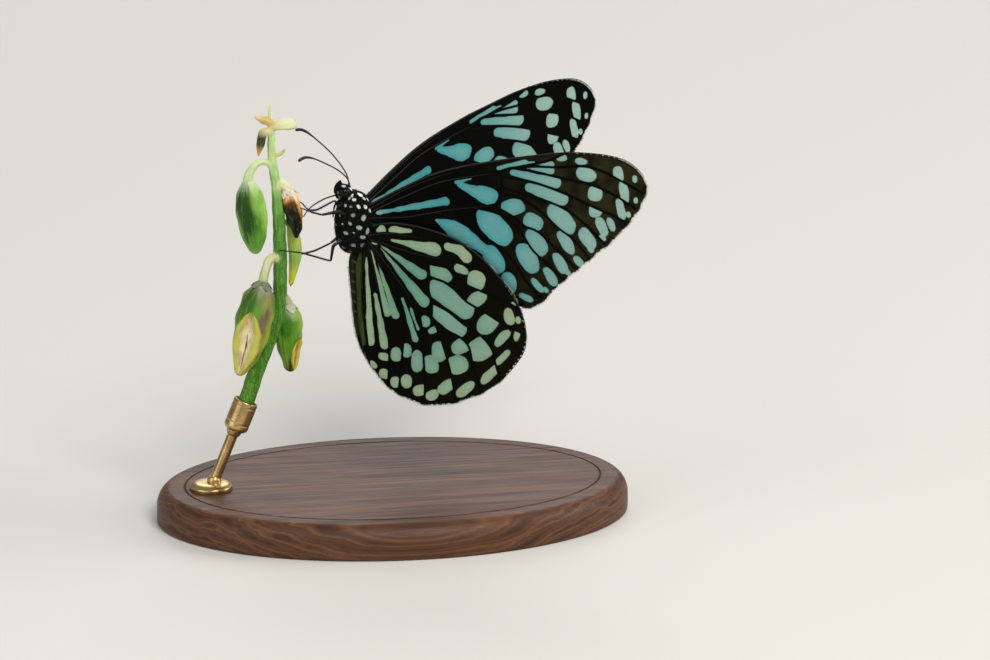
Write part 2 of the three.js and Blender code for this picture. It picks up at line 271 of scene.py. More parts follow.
class Growth(Nodes):
    # a Geometry Nodes tree with named inputs

    def __init__(self, name, sockets):
        super().__init__(bpy.data.node_groups.new(name, "GeometryNodeTree"))
        self.tree.interface.new_socket("Geometry", in_out="OUTPUT", socket_type="NodeSocketGeometry")
        for label, kind in {"Geometry": "Geometry", **sockets}.items():
            self.tree.interface.new_socket(label, in_out="INPUT", socket_type="NodeSocket" + kind)
        self.given = self.tree.nodes.new("NodeGroupInput").outputs

    def entry(self, label):
        return Flow(self, self.given[label])

    def noted(self, name, kind="FLOAT"):
        return self.add("GeometryNodeInputNamedAttribute", {"Name": name}, "Attribute", data_type=kind)

    def keep(self, geometry, name, value, kind="FLOAT"):
        feeds = {"Geometry": geometry, "Name": name, "Value": value}
        return self.add("GeometryNodeStoreNamedAttribute", feeds, domain="POINT", data_type=kind)

    def place(self):
        return self.add("GeometryNodeInputPosition")

    def line(self):
        return self.add("GeometryNodeMeshToCurve", {"Mesh": self.entry("Geometry")})

    def close(self, geometry):
        realized = self.add("GeometryNodeRealizeInstances", {0: geometry})
        smooth = self.add("GeometryNodeSetShadeSmooth", {0: realized})
        painted = self.add("GeometryNodeSetMaterial", {"Geometry": smooth, "Material": self.entry("Finish")})
        self.feed(self.tree.nodes.new("NodeGroupOutput").inputs[0], painted)
        return self.tree


def tubeTree():
    # a round tube along each line of edges, as thick as its points say
    tree = Growth("tubeAlongLine", {"Sides": "Int", "Width": "Float", "Finish": "Material"})
    ring = tree.add("GeometryNodeCurvePrimitiveCircle", {"Resolution": tree.entry("Sides"), "Radius": 1.0})
    width = tree.noted("thickness") * tree.entry("Width")
    feeds = {"Curve": tree.line(), "Profile Curve": ring, "Scale": width, "Fill Caps": True}
    return tree.close(tree.add("GeometryNodeCurveToMesh", feeds))


def tuftTree(name, onFaces):
    # bent tapering tufts, over a skin's faces or in a row along lines of edges
    sizes = ("Amount", "Length", "Breadth", "Rise", "Scatter", "Bend")
    tree = Growth(name, {**dict.fromkeys(sizes, "Float"), "Seed": "Int", "Finish": "Material"})
    amount, length, breadth, rise, scatter, bend = (tree.entry(label) for label in sizes)
    seed = tree.entry("Seed")
    if onFaces:
        density = amount * tree.noted("tuftShare")
        feeds = {"Mesh": tree.entry("Geometry"), "Density": density, "Seed": seed}
        roots = tree.add("GeometryNodeDistributePointsOnFaces", feeds)
        outward = roots.other("Normal")
    else:
        feeds = {"Curve": tree.line(), "Length": amount}
        roots = tree.add("GeometryNodeResampleCurve", feeds, mode="LENGTH")
        outward = tree.noted("outward", "FLOAT_VECTOR")
    cone = tree.add("GeometryNodeMeshCone", {
        "Vertices": 3, "Side Segments": 3, "Radius Top": 0.04, "Radius Bottom": 0.5, "Depth": 1.0,
    })
    height = tree.place().upward()
    droop = tree.add("ShaderNodeCombineXYZ", {0: height ** 2.0 * bend * -1.0})
    bent = tree.add("GeometryNodeSetPosition", {"Geometry": cone, "Offset": droop})
    tuft = tree.keep(bent, "alongTuft", height)
    feeds = {0: (-1, -1, -1), 1: (1, 1, 1), "Seed": seed}
    swerve = tree.add("FunctionNodeRandomValue", feeds, data_type="FLOAT_VECTOR")
    lying = tree.noted("lie", "FLOAT_VECTOR").normalised()
    aim = lying + outward.scaled(rise) + swerve.scaled(scatter)
    feeds = {0: aim, 1: outward}
    turn = tree.add("FunctionNodeAxesToRotation", feeds, primary_axis="Z", secondary_axis="X")
    longer = tree.add("FunctionNodeRandomValue", {2: 0.7, 3: 1.25, "Seed": 5}, 1)
    length = length * tree.noted("tuftLength") * longer
    breadth = breadth * tree.noted("tuftBreadth")
    size = tree.add("ShaderNodeCombineXYZ", {0: breadth * 0.5, 1: breadth, 2: length})
    rooted = tree.keep(roots, "rootPlace", tree.place(), "FLOAT_VECTOR")
    feeds = {"Points": rooted, "Instance": tuft, "Rotation": turn, "Scale": size}
    return tree.close(tree.add("GeometryNodeInstanceOnPoints", feeds))


def evaluated(obj):
    depsgraph = bpy.context.evaluated_depsgraph_get()
    return bpy.data.meshes.new_from_object(
        obj.evaluated_get(depsgraph), preserve_all_data_layers=True, depsgraph=depsgraph)


def grownOn(carrier, tree, values, name):
    # the tree's result on carrier, as a plain mesh of its own
    modifier = carrier.modifiers.new(name, "NODES")
    modifier.node_group = tree
    for item in tree.interface.items_tree:
        if item.in_out == "INPUT" and item.name in values:
            modifier[item.identifier] = values[item.name]
    mesh = evaluated(carrier)
    carrier.modifiers.remove(modifier)
    mesh.name = name
    return newObject(name, mesh)


def drop(*objects):
    for used in objects:
        bpy.data.objects.remove(used, do_unlink=True)


# Numbers, lines and outlines

def stepped(value, low, high):
    # 0 to 1, smoothly, while value goes from low to high, or down from low to a lesser high
    share = np.clip((np.asarray(value, float) - low) / (high - low), 0, 1)
    return share * share * (3 - 2 * share)


def hump(value, width):
    # 1 where value is 0, and less and less over about two widths
    return np.exp(-(value / width) ** 2)


def heading(degrees):
    return math.cos(math.radians(degrees)), math.sin(math.radians(degrees))


def unit(vectors):
    vectors = np.asarray(vectors, float)
    return vectors / np.maximum(np.linalg.norm(vectors, axis=-1, keepdims=True), 1e-12)


def fullTurn(count):
    return np.linspace(0, 2 * math.pi, count, endpoint=False)


def turnFrom(turn, degrees):
    # the way round from an angle in degrees, between half a turn back and half a turn on
    return (turn - math.radians(degrees) + math.pi) % (2 * math.pi) - math.pi


def bothSides(points):
    return [np.asarray(points, float) * (1, side, 1) for side in (-1, 1)]


def inSpace(points):
    # a plane's points with a 0 as their third number
    return np.pad(points, ((0, 0), (0, 3 - np.shape(points)[1])))


def nearest(points, targets):
    # for each point how far the nearest target is, and which one it is
    tree = KDTree(len(targets))
    for k, target in enumerate(inSpace(targets)):
        tree.insert(target, k)
    tree.balance()
    found = [tree.find(point) for point in inSpace(points)]
    return np.array([f[2] for f in found]), np.array([f[1] for f in found])


def lengthsAlong(points):
    # how far along a line each of its points lies
    steps = np.linalg.norm(np.diff(np.asarray(points, float), axis=0), axis=1)
    return np.concatenate([[0], np.cumsum(steps)])


def throughPoints(points, share):
    # an even Catmull-Rom curve through points, at shares of its way
    points = np.asarray(points, float).reshape(len(points), -1)
    at = np.clip(np.atleast_1d(share), 0, 1) * (len(points) - 1)
    first = np.minimum(at.astype(int), len(points) - 2)
    f = (at - first)[:, None]
    a, b, c, d = (points[np.clip(first + k, 0, len(points) - 1)] for k in (-1, 0, 1, 2))
    return b + f / 2 * (c - a + f * (2 * a - 5 * b + 4 * c - d + f * (3 * b - a - 3 * c + d)))


def roundedPath(points, count):
    # a centripetal Catmull-Rom curve through points, in even steps of length
    p = np.asarray(points, float)
    p = np.vstack([2 * p[0] - p[1], p, 2 * p[-1] - p[-2]])
    share = np.linspace(0, 1, 24, endpoint=False)[:, None]
    line = []
    for a, b, c, d in zip(p, p[1:], p[2:], p[3:]):
        before, during, after = (math.sqrt(np.linalg.norm(e)) for e in (b - a, c - b, d - c))
        startPull = ((b - a) / before - (c - a) / (before + during) + (c - b) / during) * during
        endPull = ((c - b) / during - (d - b) / (during + after) + (d - c) / after) * during
        cubic = 2 * b - 2 * c + startPull + endPull
        square = -3 * b + 3 * c - 2 * startPull - endPull
        line.append(b + share * (startPull + share * (square + share * cubic)))
    return evenSteps(np.vstack(line + [p[-2:-1]]), count)


def evenSteps(line, count):
    gone = lengthsAlong(line)
    at = np.linspace(0, gone[-1], count)
    return np.stack([np.interp(at, gone, line[:, k]) for k in range(line.shape[1])], 1)


def cornered(points, count, rounding):
    # straight stretches between points, with their corners rounded over that length
    line = evenSteps(np.asarray(points, float), count)
    for _ in range(max(1, int((rounding / lengthsAlong(line)[-1] * count) ** 2))):
        line[1:-1] += (line[:-2] + line[2:] - 2 * line[1:-1]) / 4
    return line


def framesAlong(line, facing):
    # directions along and across a line, turning as little as they can; the first faces that way
    ahead = unit(np.gradient(line, axis=0))
    side = np.asarray(facing, float)
    across = []
    for direction in ahead:
        side = unit(side - direction * (side @ direction))
        across.append(side)
    across = np.array(across)
    return ahead, across, np.cross(ahead, across)


def ovalRings(centres, across, beside, widths, depths, count):
    # an oval round each centre, as wide across and beside it as those directions and sizes say
    turn = fullTurn(count)[:, None]
    across, beside = (np.broadcast_to(way, np.shape(centres))[:, None] for way in (across, beside))
    widths, depths = (np.reshape(sizes, (-1, 1, 1)) for sizes in (widths, depths))
    return centres[:, None] + across * np.cos(turn) * widths + beside * np.sin(turn) * depths


def roundEnds(shares, length, radius):
    # thins a tube towards both its ends, so that they come out round
    reach = np.minimum(shares, 1 - shares) * length / radius
    return np.sqrt(np.clip(1 - (1 - np.clip(reach, 0, 1)) ** 2, 0.0004, 1))


# Meshes

bakePatch = 0.003  # the side of each tuft's patch on the bake map


def note(obj, **attributes):
    # attributes on obj's points: a number or a vector for each, or one number for all
    for name, values in attributes.items():
        values = np.asarray(values, np.float32)
        if values.ndim == 0:
            values = np.full(len(obj.data.vertices), values)
        kind, key = ("FLOAT_VECTOR", "vector") if values.ndim == 2 else ("FLOAT", "value")
        obj.data.attributes.new(name, kind, "POINT").data.foreach_set(key, values.ravel())


def read(obj, name):
    # an attribute's values on obj's points, as note left them
    layer = obj.data.attributes[name]
    width, key = (3, "vector") if layer.data_type == "FLOAT_VECTOR" else (1, "value")
    found = np.empty(len(layer.data) * width, np.float32)
    layer.data.foreach_get(key, found)
    return found.reshape(-1, 3).astype(float) if width == 3 else found


def pointsOf(obj):
    found = np.empty(len(obj.data.vertices) * 3, np.float32)
    obj.data.vertices.foreach_get("co", found)
    return found.reshape(-1, 3).astype(float)


def movePoints(obj, points):
    obj.data.vertices.foreach_set("co", points.astype(np.float32).ravel())
    obj.data.update()


def moveToFrame(obj, material):
    # a mesh made in mm comes to its place in the model, and is painted
    movePoints(obj, toFrame(pointsOf(obj)))
    obj.data.materials.append(material)


def finishPiece(obj, slotName, *nodes):
    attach(obj, "root")
    if nodes:
        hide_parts(*nodes)
    return obj


def gridFaces(rows, columns, around=False):
    # quads over a grid of points, joined up round its columns when it goes around
    steps = np.arange(columns if around else columns - 1)
    row, column = np.meshgrid(np.arange(rows - 1) * columns, steps, indexing="ij")
    beside = (column + 1) % columns
    corners = [row + column, row + beside, row + columns + beside, row + columns + column]
    return np.stack(corners, -1).reshape(-1, 4)


def closedShell(name, points, faces, material=None):
    # a closed mesh with its faces turned outwards
    mesh = bpy.data.meshes.new(name)
    mesh.from_pydata(np.asarray(points).tolist(), [], faces)
    turned = bmesh.new()
    turned.from_mesh(mesh)
    bmesh.ops.recalc_face_normals(turned, faces=turned.faces)
    turned.to_mesh(mesh)
    turned.free()
    mesh.shade_smooth()
    if material:
        mesh.materials.append(material)
    return newObject(name, mesh)


def closedLoft(name, rings, material=None):
    # rings of points from end to end, closed by a point at either end
    rows, columns = rings.shape[:2]
    points = np.vstack([rings.reshape(-1, 3), rings[0].mean(0), rings[-1].mean(0)])
    faces = gridFaces(rows, columns, around=True).tolist()
    last, low, high = (rows - 1) * columns, rows * columns, rows * columns + 1
    for column in range(columns):
        beside = (column + 1) % columns
        faces.append((low, beside, column))
        faces.append((high, last + column, last + beside))
    return closedShell(name, points, faces, material)


def limbShell(path, radii, columns, rows):
    # a closed limb along a path, with round ends
    line = roundedPath(path, rows)
    share = np.linspace(0, 1, rows)
    gone = lengthsAlong(path)
    ends = np.interp(share, [0, 1], [radii[0], radii[-1]])
    width = np.interp(share, gone / gone[-1], radii) * roundEnds(share, gone[-1], ends)
    _, across, beside = framesAlong(line, (1, 0, 0))
    return closedLoft("limb", ovalRings(line, across, beside, width, width, columns))


def roundLump(centre, radii, rings):
    # a smooth oval ball
    turn = np.linspace(0, math.pi, rings + 2)[1:-1]
    centres = np.stack([0 * turn, 0 * turn, -np.cos(turn)], 1) * radii + centre
    east, north = (radii[0], 0, 0), (0, radii[1], 0)
    return closedLoft("lump", ovalRings(centres, east, north, np.sin(turn), np.sin(turn), 2 * rings))


def joined(name, parts):
    # one mesh of all parts, which it takes the place of
    whole = bmesh.new()
    for part in parts:
        whole.from_mesh(part.data)
    mesh = bpy.data.meshes.new(name)
    whole.to_mesh(mesh)
    whole.free()
    drop(*parts)
    return newObject(name, mesh)


def remeshed(name, parts, voxel, smoothing):
    # one skin over overlapping closed parts
    whole = joined("parts", parts)
    remesh = whole.modifiers.new("skin", "REMESH")
    remesh.mode = "VOXEL"
    remesh.voxel_size = voxel
    soften = whole.modifiers.new("soften", "SMOOTH")
    soften.factor = 0.5
    soften.iterations = smoothing
    mesh = evaluated(whole)
    drop(whole)
    mesh.name = name
    mesh.shade_smooth()
    return newObject(name, mesh)


def lineObject(name, lines):
    # a row of edges through each line's points
    edges, first = [], 0
    for line in lines:
        edges += [(k, k + 1) for k in range(first, first + len(line) - 1)]
        first += len(line)
    mesh = bpy.data.meshes.new(name)
    mesh.from_pydata(toFrame(np.vstack(lines)).tolist(), edges, [])
    return newObject(name, mesh)


def tubePiece(name, lines, widths, sides, material):
    # one mesh of tubes along lines, with the radius at each of their points
    carrier = lineObject(name + "Line", lines)
    note(carrier, thickness=np.concatenate(widths) / 1000)
    made = grownOn(carrier, tubes, {"Sides": sides, "Width": 1.0, "Finish": material}, name)
    drop(carrier)
    return made


def growTufts(name, carrier, tufts, finish, flatPlace):
    # tufts over carrier's faces, or along its edges where they have a spacing
    overFaces = "perSquareMm" in tufts
    values = {
        "Amount": tufts["perSquareMm"] * 1e6 if overFaces else tufts["spacing"] / 1000,
        "Length": tufts["length"] / 1000,
        "Breadth": tufts["breadth"] / 1000,
        "Rise": tufts["rise"],
        "Scatter": tufts["scatter"],
        "Bend": tufts["bend"],
        "Seed": tufts["seed"],
        "Finish": finish,
    }
    made = grownOn(carrier, faceTufts if overFaces else edgeTufts, values, name)
    # each tuft has a small patch of the bake map, at its root's place on the flattened skin
    along = read(made, "alongTuft")
    side = np.arange(len(along)) % 3
    patch = bakePatch * np.stack([(side - 1) / 2, along - 0.5], 1)
    corner = np.empty(len(made.data.loops), np.int32)
    made.data.loops.foreach_get("vertex_index", corner)
    layer = made.data.uv_layers.new(name="OFBake")
    flat = np.clip(flatPlace(made) + patch, 0.002, 0.998)
    layer.data.foreach_set("uv", flat[corner].astype(np.float32).ravel())
    return made


def unrolled(obj, axisAt, low, height):
    # where roots lie on a skin unrolled round an upright axis, from low upwards
    x, y, z = (read(obj, "rootPlace") * 1000 - hingeMiddle).T
    turn = np.arctan2(y, x - axisAt(z)) / (2 * math.pi) + 0.5
    return 0.02 + 0.96 * np.stack([turn, (z - low) / height], 1)


setCamera()
setLamps()
setRoom()
tubes = tubeTree()
faceTufts = tuftTree("tuftsOverSkin", onFaces=True)
edgeTufts = tuftTree("tuftsAlongEdge", onFaces=False)
print("camera, lamps and trees made")


# Wings. Places on a wing lie in its own plane: first the distance out from the hinge, then the
# distance forwards. Each vein is its points and its thickness at either end, each streak its two
# ends and their half widths, and each spot its middle, half length, half width and tilt.

wings = {
    "forewing": {
        "hinge": (0, 2.4, 0),
        "spread": {"left": 28.5, "right": 27},
        "lift": {"left": 0, "right": 1.5},
        "tuck": 0,
        "tuckStart": -2,
        "leading": [
            (-1, 2.6), (5, 6.3), (10.8, 9.4), (16, 11.3), (21.5, 12.8), (27.5, 14.2), (34, 15.4),
            (40, 15.7), (44.8, 15), (47.6, 13), (48.8, 10.8),
        ],
        "trailing": [
            (-1, -2.4), (6, -4), (12.5, -6.4), (19, -9.3), (25, -11.6), (29.3, -11.7), (34, -7),
            (39, -2.5), (43.8, 2), (47.4, 7), (48.8, 10.8),
        ],
        "fringe": (0.22, 0.62),
        "veins": [
            ([(-0.5, 0.2), (6, -2.2), (12, -4.9), (18, -7.4), (23.5, -9.9), (28, -12.2)], 0.2, 0.09),
            ([(-0.5, 0.8), (6, 1.6), (11, 2.9), (16, 4.1), (20.5, 4.9), (22.4, 5.5)], 0.24, 0.12),
            ([(11.3, 3), (13.5, 2.7), (16.8, 1.4), (20.6, -0.6), (23.8, -2.5), (25.6, -4.5),
              (27.7, -7.6), (30.8, -10.6)], 0.14, 0.08),
            ([(18.6, 4.5), (22.5, 3.9), (25.4, 2.5), (27.2, 0.3), (28.7, -1.9), (30.9, -3.8),
              (34.6, -7)], 0.13, 0.08),
            ([(21.6, 5.2), (23.6, 4.4), (25.7, 3.3), (27.4, 2.1), (29.4, 1.5), (31.6, -0.2), (34, -2.4),
              (36.9, -5)], 0.13, 0.08),
            ([(23.1, 7.3), (26.5, 6.9), (29.5, 5.4), (31.3, 4), (33.3, 2.3), (35.8, 0.6), (37.6, -1.3),
              (39.2, -2.9)], 0.12, 0.08),
            ([(23.3, 8.5), (28, 7.5), (32.3, 6.5), (35.8, 4.9), (38.4, 2.9), (40.2, 1.3),
              (42, -0.2)], 0.12, 0.08),
            ([(23.2, 10.4), (28, 10), (32.7, 8.9), (37, 7.4), (40.3, 6.1), (43.3, 5.1),
              (45.8, 3.9)], 0.13, 0.08),
            ([(22.4, 10.9), (25.4, 12.1), (28.5, 11.8), (33, 11.1), (38.9, 10.3), (42, 9.3), (44.6, 8),
              (47.4, 6.3)], 0.13, 0.08),
            ([(25.4, 12.1), (29, 12.6), (33, 12.8), (38, 13.4), (41.5, 12.6), (44.5, 11.2),
              (48.6, 9.2)], 0.12, 0.08),
            ([(21.3, 10.7), (25, 11.9), (28, 12.8), (31.5, 13.8), (35, 15.7)], 0.12, 0.08),
            ([(-0.5, 1.7), (6, 5.2), (12, 8.2), (18, 9.9), (22.4, 10.9)], 0.26, 0.14),
            ([(15, 9.2), (19, 11.2), (22.6, 13.3)], 0.13, 0.1),
            ([(-0.5, 2.2), (5, 5.8), (10.8, 8.8), (15, 10.4), (18, 12.1)], 0.2, 0.1),
            ([(22.4, 10.9), (23.2, 10.4), (23.3, 8.5), (23.1, 7.3), (22.4, 5.5)], 0.11, 0.11),
        ],
        "streaks": [
            (1.5, 2, 13.3, 5.1, 0.25, 0.72), (11.8, 1.7, 15.2, 0.3, 0.3, 1.75),
            (15.2, 0.3, 19.2, -2, 1.75, 1.05), (19.2, -2, 20.8, -3, 1.05, 0.8),
            (25.2, 11.2, 32.7, 10.2, 0.45, 1), (28.2, 8.8, 33.8, 7.5, 0.8, 1.25),
            (22.7, 11.8, 27.4, 13.1, 0.3, 0.6), (26.6, 12.25, 31.9, 12.15, 0.25, 0.7),
            (27.2, 13, 32, 13.3, 0.25, 0.5), (15.2, 8.6, 17.7, 9.6, 0.3, 0.38),
            (15.8, 8.3, 18.8, 7.2, 0.45, 1.05),
        ],
        "spots": [
            (-0.2, 2.3, 0.7, 0.28, 30), (1.45, 2, 0.6, 0.45, 10), (20.5, 6.9, 2.1, 1.55, -12),
            (21.9, -4.2, 2.5, 1.7, -62), (22, 1.5, 3.8, 2.15, -42), (25.3, 5.2, 2.1, 1.4, 12),
            (33.8, 14.5, 1, 0.55, 0), (37.3, 14.2, 1.1, 0.55, -8), (38.1, 12, 1.75, 1.2, -10),
            (39.7, 8.9, 1.25, 1.35, 0), (33.8, 4, 3, 1.6, -42), (39.8, 6.2, 1.15, 1.55, -10),
            (40.8, 3.2, 1.8, 0.85, -66), (28.9, 3, 1.8, 1.4, -20), (29.5, -0.5, 2.5, 1.5, -60),
            (27.9, -3.4, 2.7, 1.6, -60), (24.6, -8, 1.35, 1.8, 10), (34.6, -0.1, 2.2, 1, -55),
            (38.3, 0.8, 2.1, 1.1, -55), (33.6, -3.8, 1.9, 0.95, -58), (31.9, -6.3, 1.8, 0.85, -55),
            (36.8, -3.2, 1, 0.65, -45), (38.9, -0.9, 0.8, 0.55, -40), (29.6, -8, 1.4, 0.6, -45),
            (27.6, -10.3, 1.3, 0.55, -15), (43.7, 12.5, 0.9, 1.35, 5), (44.7, 9.5, 0.8, 1.9, 10),
            (44.1, 6.4, 0.72, 1.8, 15), (42.5, 3.6, 0.6, 1.3, 22), (31.1, -8.7, 0.6, 0.4, -45),
            (34.9, -5.3, 0.7, 0.45, -45), (41, 1.2, 0.7, 0.5, -40), (46.7, 8.2, 0.4, 0.6, 10),
            (45.5, 5.6, 0.4, 0.55, 20), (46.6, 11.9, 0.4, 0.6, 0),
        ],
    },
    "hindwing": {
        "hinge": (-0.65, 2.8, -2.5),
        "spread": {"left": 29.7, "right": 28.2},
        "lift": {"left": 0, "right": 0},
        "tuck": 42,
        "tuckStart": 1.6,
        "leading": [
            (0.9, 2.3), (4.8, 3.1), (10.2, 2.8), (15.6, 1.5), (20.2, -1.1), (23.8, -4.5), (26.5, -7.9),
            (28.2, -12.2), (28.2, -16.4), (26.2, -19.8), (23.4, -22.9), (20, -25.3),
        ],
        "trailing": [
            (-1.5, -3.2), (-2.1, -5.6), (-1.9, -9), (-1.6, -13), (-1.2, -16.8), (-0.4, -20.2),
            (1.2, -23.2), (3.8, -25.7), (7, -27.3), (10.8, -28), (15.2, -27.3), (20, -25.3),
        ],
        "fringe": (0.06, 0.8),
        "veins": [
            ([(0.2, 0.5), (3, 1.15), (7, 1.2), (11, 1), (14.5, 1.1), (18.5, 0.7)], 0.2, 0.08),
            ([(0.4, -0.2), (7, -1.5), (12, -2.15), (16, -2.5), (19.5, -3.3), (23.8, -4.7)], 0.2, 0.08),
            ([(9, -1.8), (11, -3.2), (14.8, -3.8), (17.3, -6), (20.5, -7.1), (24.5, -8.4),
              (27.6, -9.6)], 0.12, 0.08),
            ([(11.2, -5.6), (14.6, -6.5), (17.7, -9.1), (20.8, -10.6), (24.5, -12.5),
              (28.6, -14)], 0.12, 0.08),
            ([(11.6, -10), (14.6, -11.3), (17.5, -13.3), (20.4, -14.9), (22.4, -17.2), (23, -19.6),
              (24.1, -22.6)], 0.12, 0.08),
            ([(11.7, -12.7), (14.2, -14.5), (16.7, -15.6), (18.2, -17), (18.9, -19.8), (19.7, -22.4),
              (20.8, -25.4)], 0.12, 0.08),
            ([(11.6, -12.8), (12.9, -15.2), (14.3, -19.5), (15.3, -23.5), (15.8, -27.4)], 0.12, 0.08),
            ([(8.4, -10.4), (9.6, -13.4), (10.1, -20), (10.3, -24), (10.2, -28.2)], 0.13, 0.08),
            ([(4.7, -5.7), (5.8, -11), (6.5, -15), (6.2, -20), (5.5, -27)], 0.13, 0.08),
            ([(0.2, -1.6), (1.6, -7.5), (2.6, -12.4), (3.7, -16.5), (3.9, -20.5),
              (3.6, -25.8)], 0.16, 0.08),
            ([(-0.4, -1.6), (-0.75, -6), (-0.7, -12), (-0.05, -18), (0.3, -22)], 0.16, 0.08),
            ([(0.3, -0.7), (3, -3.7), (5.7, -7), (8.2, -10.2), (11.6, -12.8)], 0.2, 0.12),
            ([(11, -3.2), (11.1, -5.6), (11, -7.8), (11.6, -10), (11.6, -12.8)], 0.1, 0.1),
            ([(0.6, 0.6), (1.4, 1.8), (2.2, 2.7)], 0.12, 0.08),
        ],
        "streaks": [
            (4.55, 1.85, 7.7, 2.1, 0.75, 0.3), (4.4, 0.1, 12.1, -0.7, 0.15, 1.2),
            (14.5, 0.1, 16.7, -0.4, 0.7, 0.9), (16.7, -0.4, 17.9, -1.5, 0.9, 0.95),
            (17.5, -3.9, 16.5, -3.4, 0.6, 0.85), (2.3, -1, 9.7, -5.3, 0.1, 0.95),
            (2.4, -1.5, 10.1, -9.9, 0.1, 1.05), (12.4, -7.5, 17.4, -10.4, 1.6, 1.85),
            (12.7, -11.2, 16.2, -14, 1.5, 1.6), (6.3, -9.9, 8.6, -16.6, 0.25, 0.55),
            (7.8, -11.5, 9.1, -14.9, 0.15, 0.25), (0.64, -2.1, 3.4, -12.6, 0.1, 0.75),
            (1.9, -4.2, 5, -12.8, 0.1, 0.7), (-0.2, -3.4, 0.54, -18.1, 0.15, 0.65),
            (1.4, -9.8, 3, -18.3, 0.3, 0.75),
        ],
        "olive": (-1.5, -2.8, -0.95, -18.2, 0.5, 0.6),
        "spots": [
            (1.35, -0.4, 0.75, 0.6, 0), (2.4, 1.75, 0.85, 0.8, 0), (19.6, -5.3, 1.6, 1.75, -10),
            (19.7, -8.6, 2.1, 1.15, 35), (13, -4.7, 2.2, 1.4, -28), (10.5, -13.4, 0.8, 1, 0),
            (11.8, -14.8, 0.5, 0.9, -60), (2.9, -20.4, 1, 0.7, 0), (5.1, -19.7, 0.95, 1.3, 0),
            (7.1, -18.9, 0.9, 1.15, 0), (8.9, -20.5, 1.05, 1.95, 0), (11.4, -20.9, 1.3, 1.6, 15),
            (12.9, -18.5, 1.3, 1.8, 0), (16.2, -20.4, 2, 1.6, 30), (16.8, -17.1, 1.9, 1.3, 30),
            (20.3, -17.2, 2.5, 1.9, 35), (21.6, -12.6, 2.4, 1.5, 48), (24.2, -14.9, 1.9, 0.8, 50),
            (25.4, -11, 0.9, 1.4, 10), (24.3, -18.3, 1.6, 0.6, 50), (1, -22, 0.8, 0.5, -35),
            (3, -23.3, 0.95, 0.85, -20), (5, -24.6, 0.85, 0.95, 0), (7, -24.3, 1, 1.15, 0),
            (9.4, -25.6, 1.3, 0.95, 30), (11.7, -26.2, 1.2, 0.85, 30), (14.4, -24.3, 2.1, 0.95, 40),
            (17.6, -24.5, 2.1, 0.85, 42), (22.2, -21.3, 2.3, 0.8, 45), (26.8, -14.2, 0.5, 1.1, -15),
            (27, -11.4, 0.4, 0.6, 5), (26.2, -8.9, 0.4, 0.6, 20),
        ],
    },
}
membrane = {
    "camber": 0.6,  # how far a wing's middle bows outwards
    "span": 50,
    "tuckWidth": 4,  # over which the wing's inner edge turns in behind the body
    "halfThickness": 0.065,
    "rimThickness": 0.025,
    "costaThickness": 0.09,  # added along the leading edge
    "costaWidth": 0.35,
    "relief": 0.11,  # how far the membrane waves in and out
    "along": 250,
    "across": 125,
    "scallop": 0.22,  # how deep the margin dips between the veins
    "scallopReach": 1.6,
    "veinStep": 0.12,
    "veinClear": 0.12,  # dark border along each vein
    "outOfCell": 0.5,  # how far outside a mark counts a place beyond its veins
    "squareness": 2.4,  # 2 would make each spot an ellipse
    "outerWay": (0.75, -0.66),  # towards the outer margin, which lies between these distances
    "outerFrom": (12, 18),
}
wingPaint = {
    # colours from the root outwards, each at its distance from the root as a share of the span
    # the forewing's marks are pale aqua of their own; the deeper turquoise of these stops is partly a
    # painted reflection of blue sky
    "forewing": [
        (0.0, (176, 196, 188)), (0.04, (170, 192, 184)), (0.1, (92, 158, 158)), (0.3, (62, 148, 154)),
        (0.5, (74, 156, 160)), (0.62, (110, 162, 158)), (0.9, (160, 188, 176)),
    ],
    "hindwing": [
        (0.0, (112, 150, 122)), (0.2, (92, 146, 120)), (0.4, (118, 160, 138)), (0.62, (124, 158, 134)),
    ],
    "margin": (158, 176, 138),
    "olive": (50, 64, 20),
    "upperPale": (112, 172, 178),
    "dust": (92, 150, 144),
    "core": (205, 228, 220),  # in the middle of each pale mark
    "scaleEdge": (40, 70, 66),
    "speckle": (50, 46, 28),
    "upperGround": (3, 3, 2),
    "underGround": {"forewing": (3, 3, 2), "hindwing": (6, 6, 2)},
    "underEdge": {"forewing": (40, 38, 20), "hindwing": (20, 18, 7)},
    "vein": (4, 4, 3),
    "scalesPerMm": 9,
}
fringe = {
    "spacing": 0.055,
    "length": 0.5,
    "breadth": 0.1,
    "rise": 0.0,
    "scatter": 0.22,
    "bend": 0.0,
    "seed": 3,
    "whiteFrom": 0.55,
    "dark": (22, 19, 13),
    "pale": ((190, 196, 180), (232, 236, 226)),
}
rootHair = {
    "perSquareMm": 12,
    "length": 1,
    "breadth": 0.05,
    "rise": 0.22,
    "scatter": 0.3,
    "bend": 0.1,
    "seed": 11,
    "reach": 5,
}


def onPlane(wing, u, v):
    trailing, leading = throughPoints(wing["trailing"], u), throughPoints(wing["leading"], u)
    return (1 - v)[:, None] * trailing + v[:, None] * leading


def relief(plane):
    x, y = plane.T
    broad = np.sin(0.33 * x + 0.9) * np.sin(0.37 * y + 0.5)
    fine = np.sin(0.9 * x - 0.7 * y) + 0.6 * np.sin(0.5 * x + 1.3 * y + 2)
    return membrane["relief"] * (0.6 * broad + 0.25 * fine) * stepped(np.hypot(x, y), 3, 12)


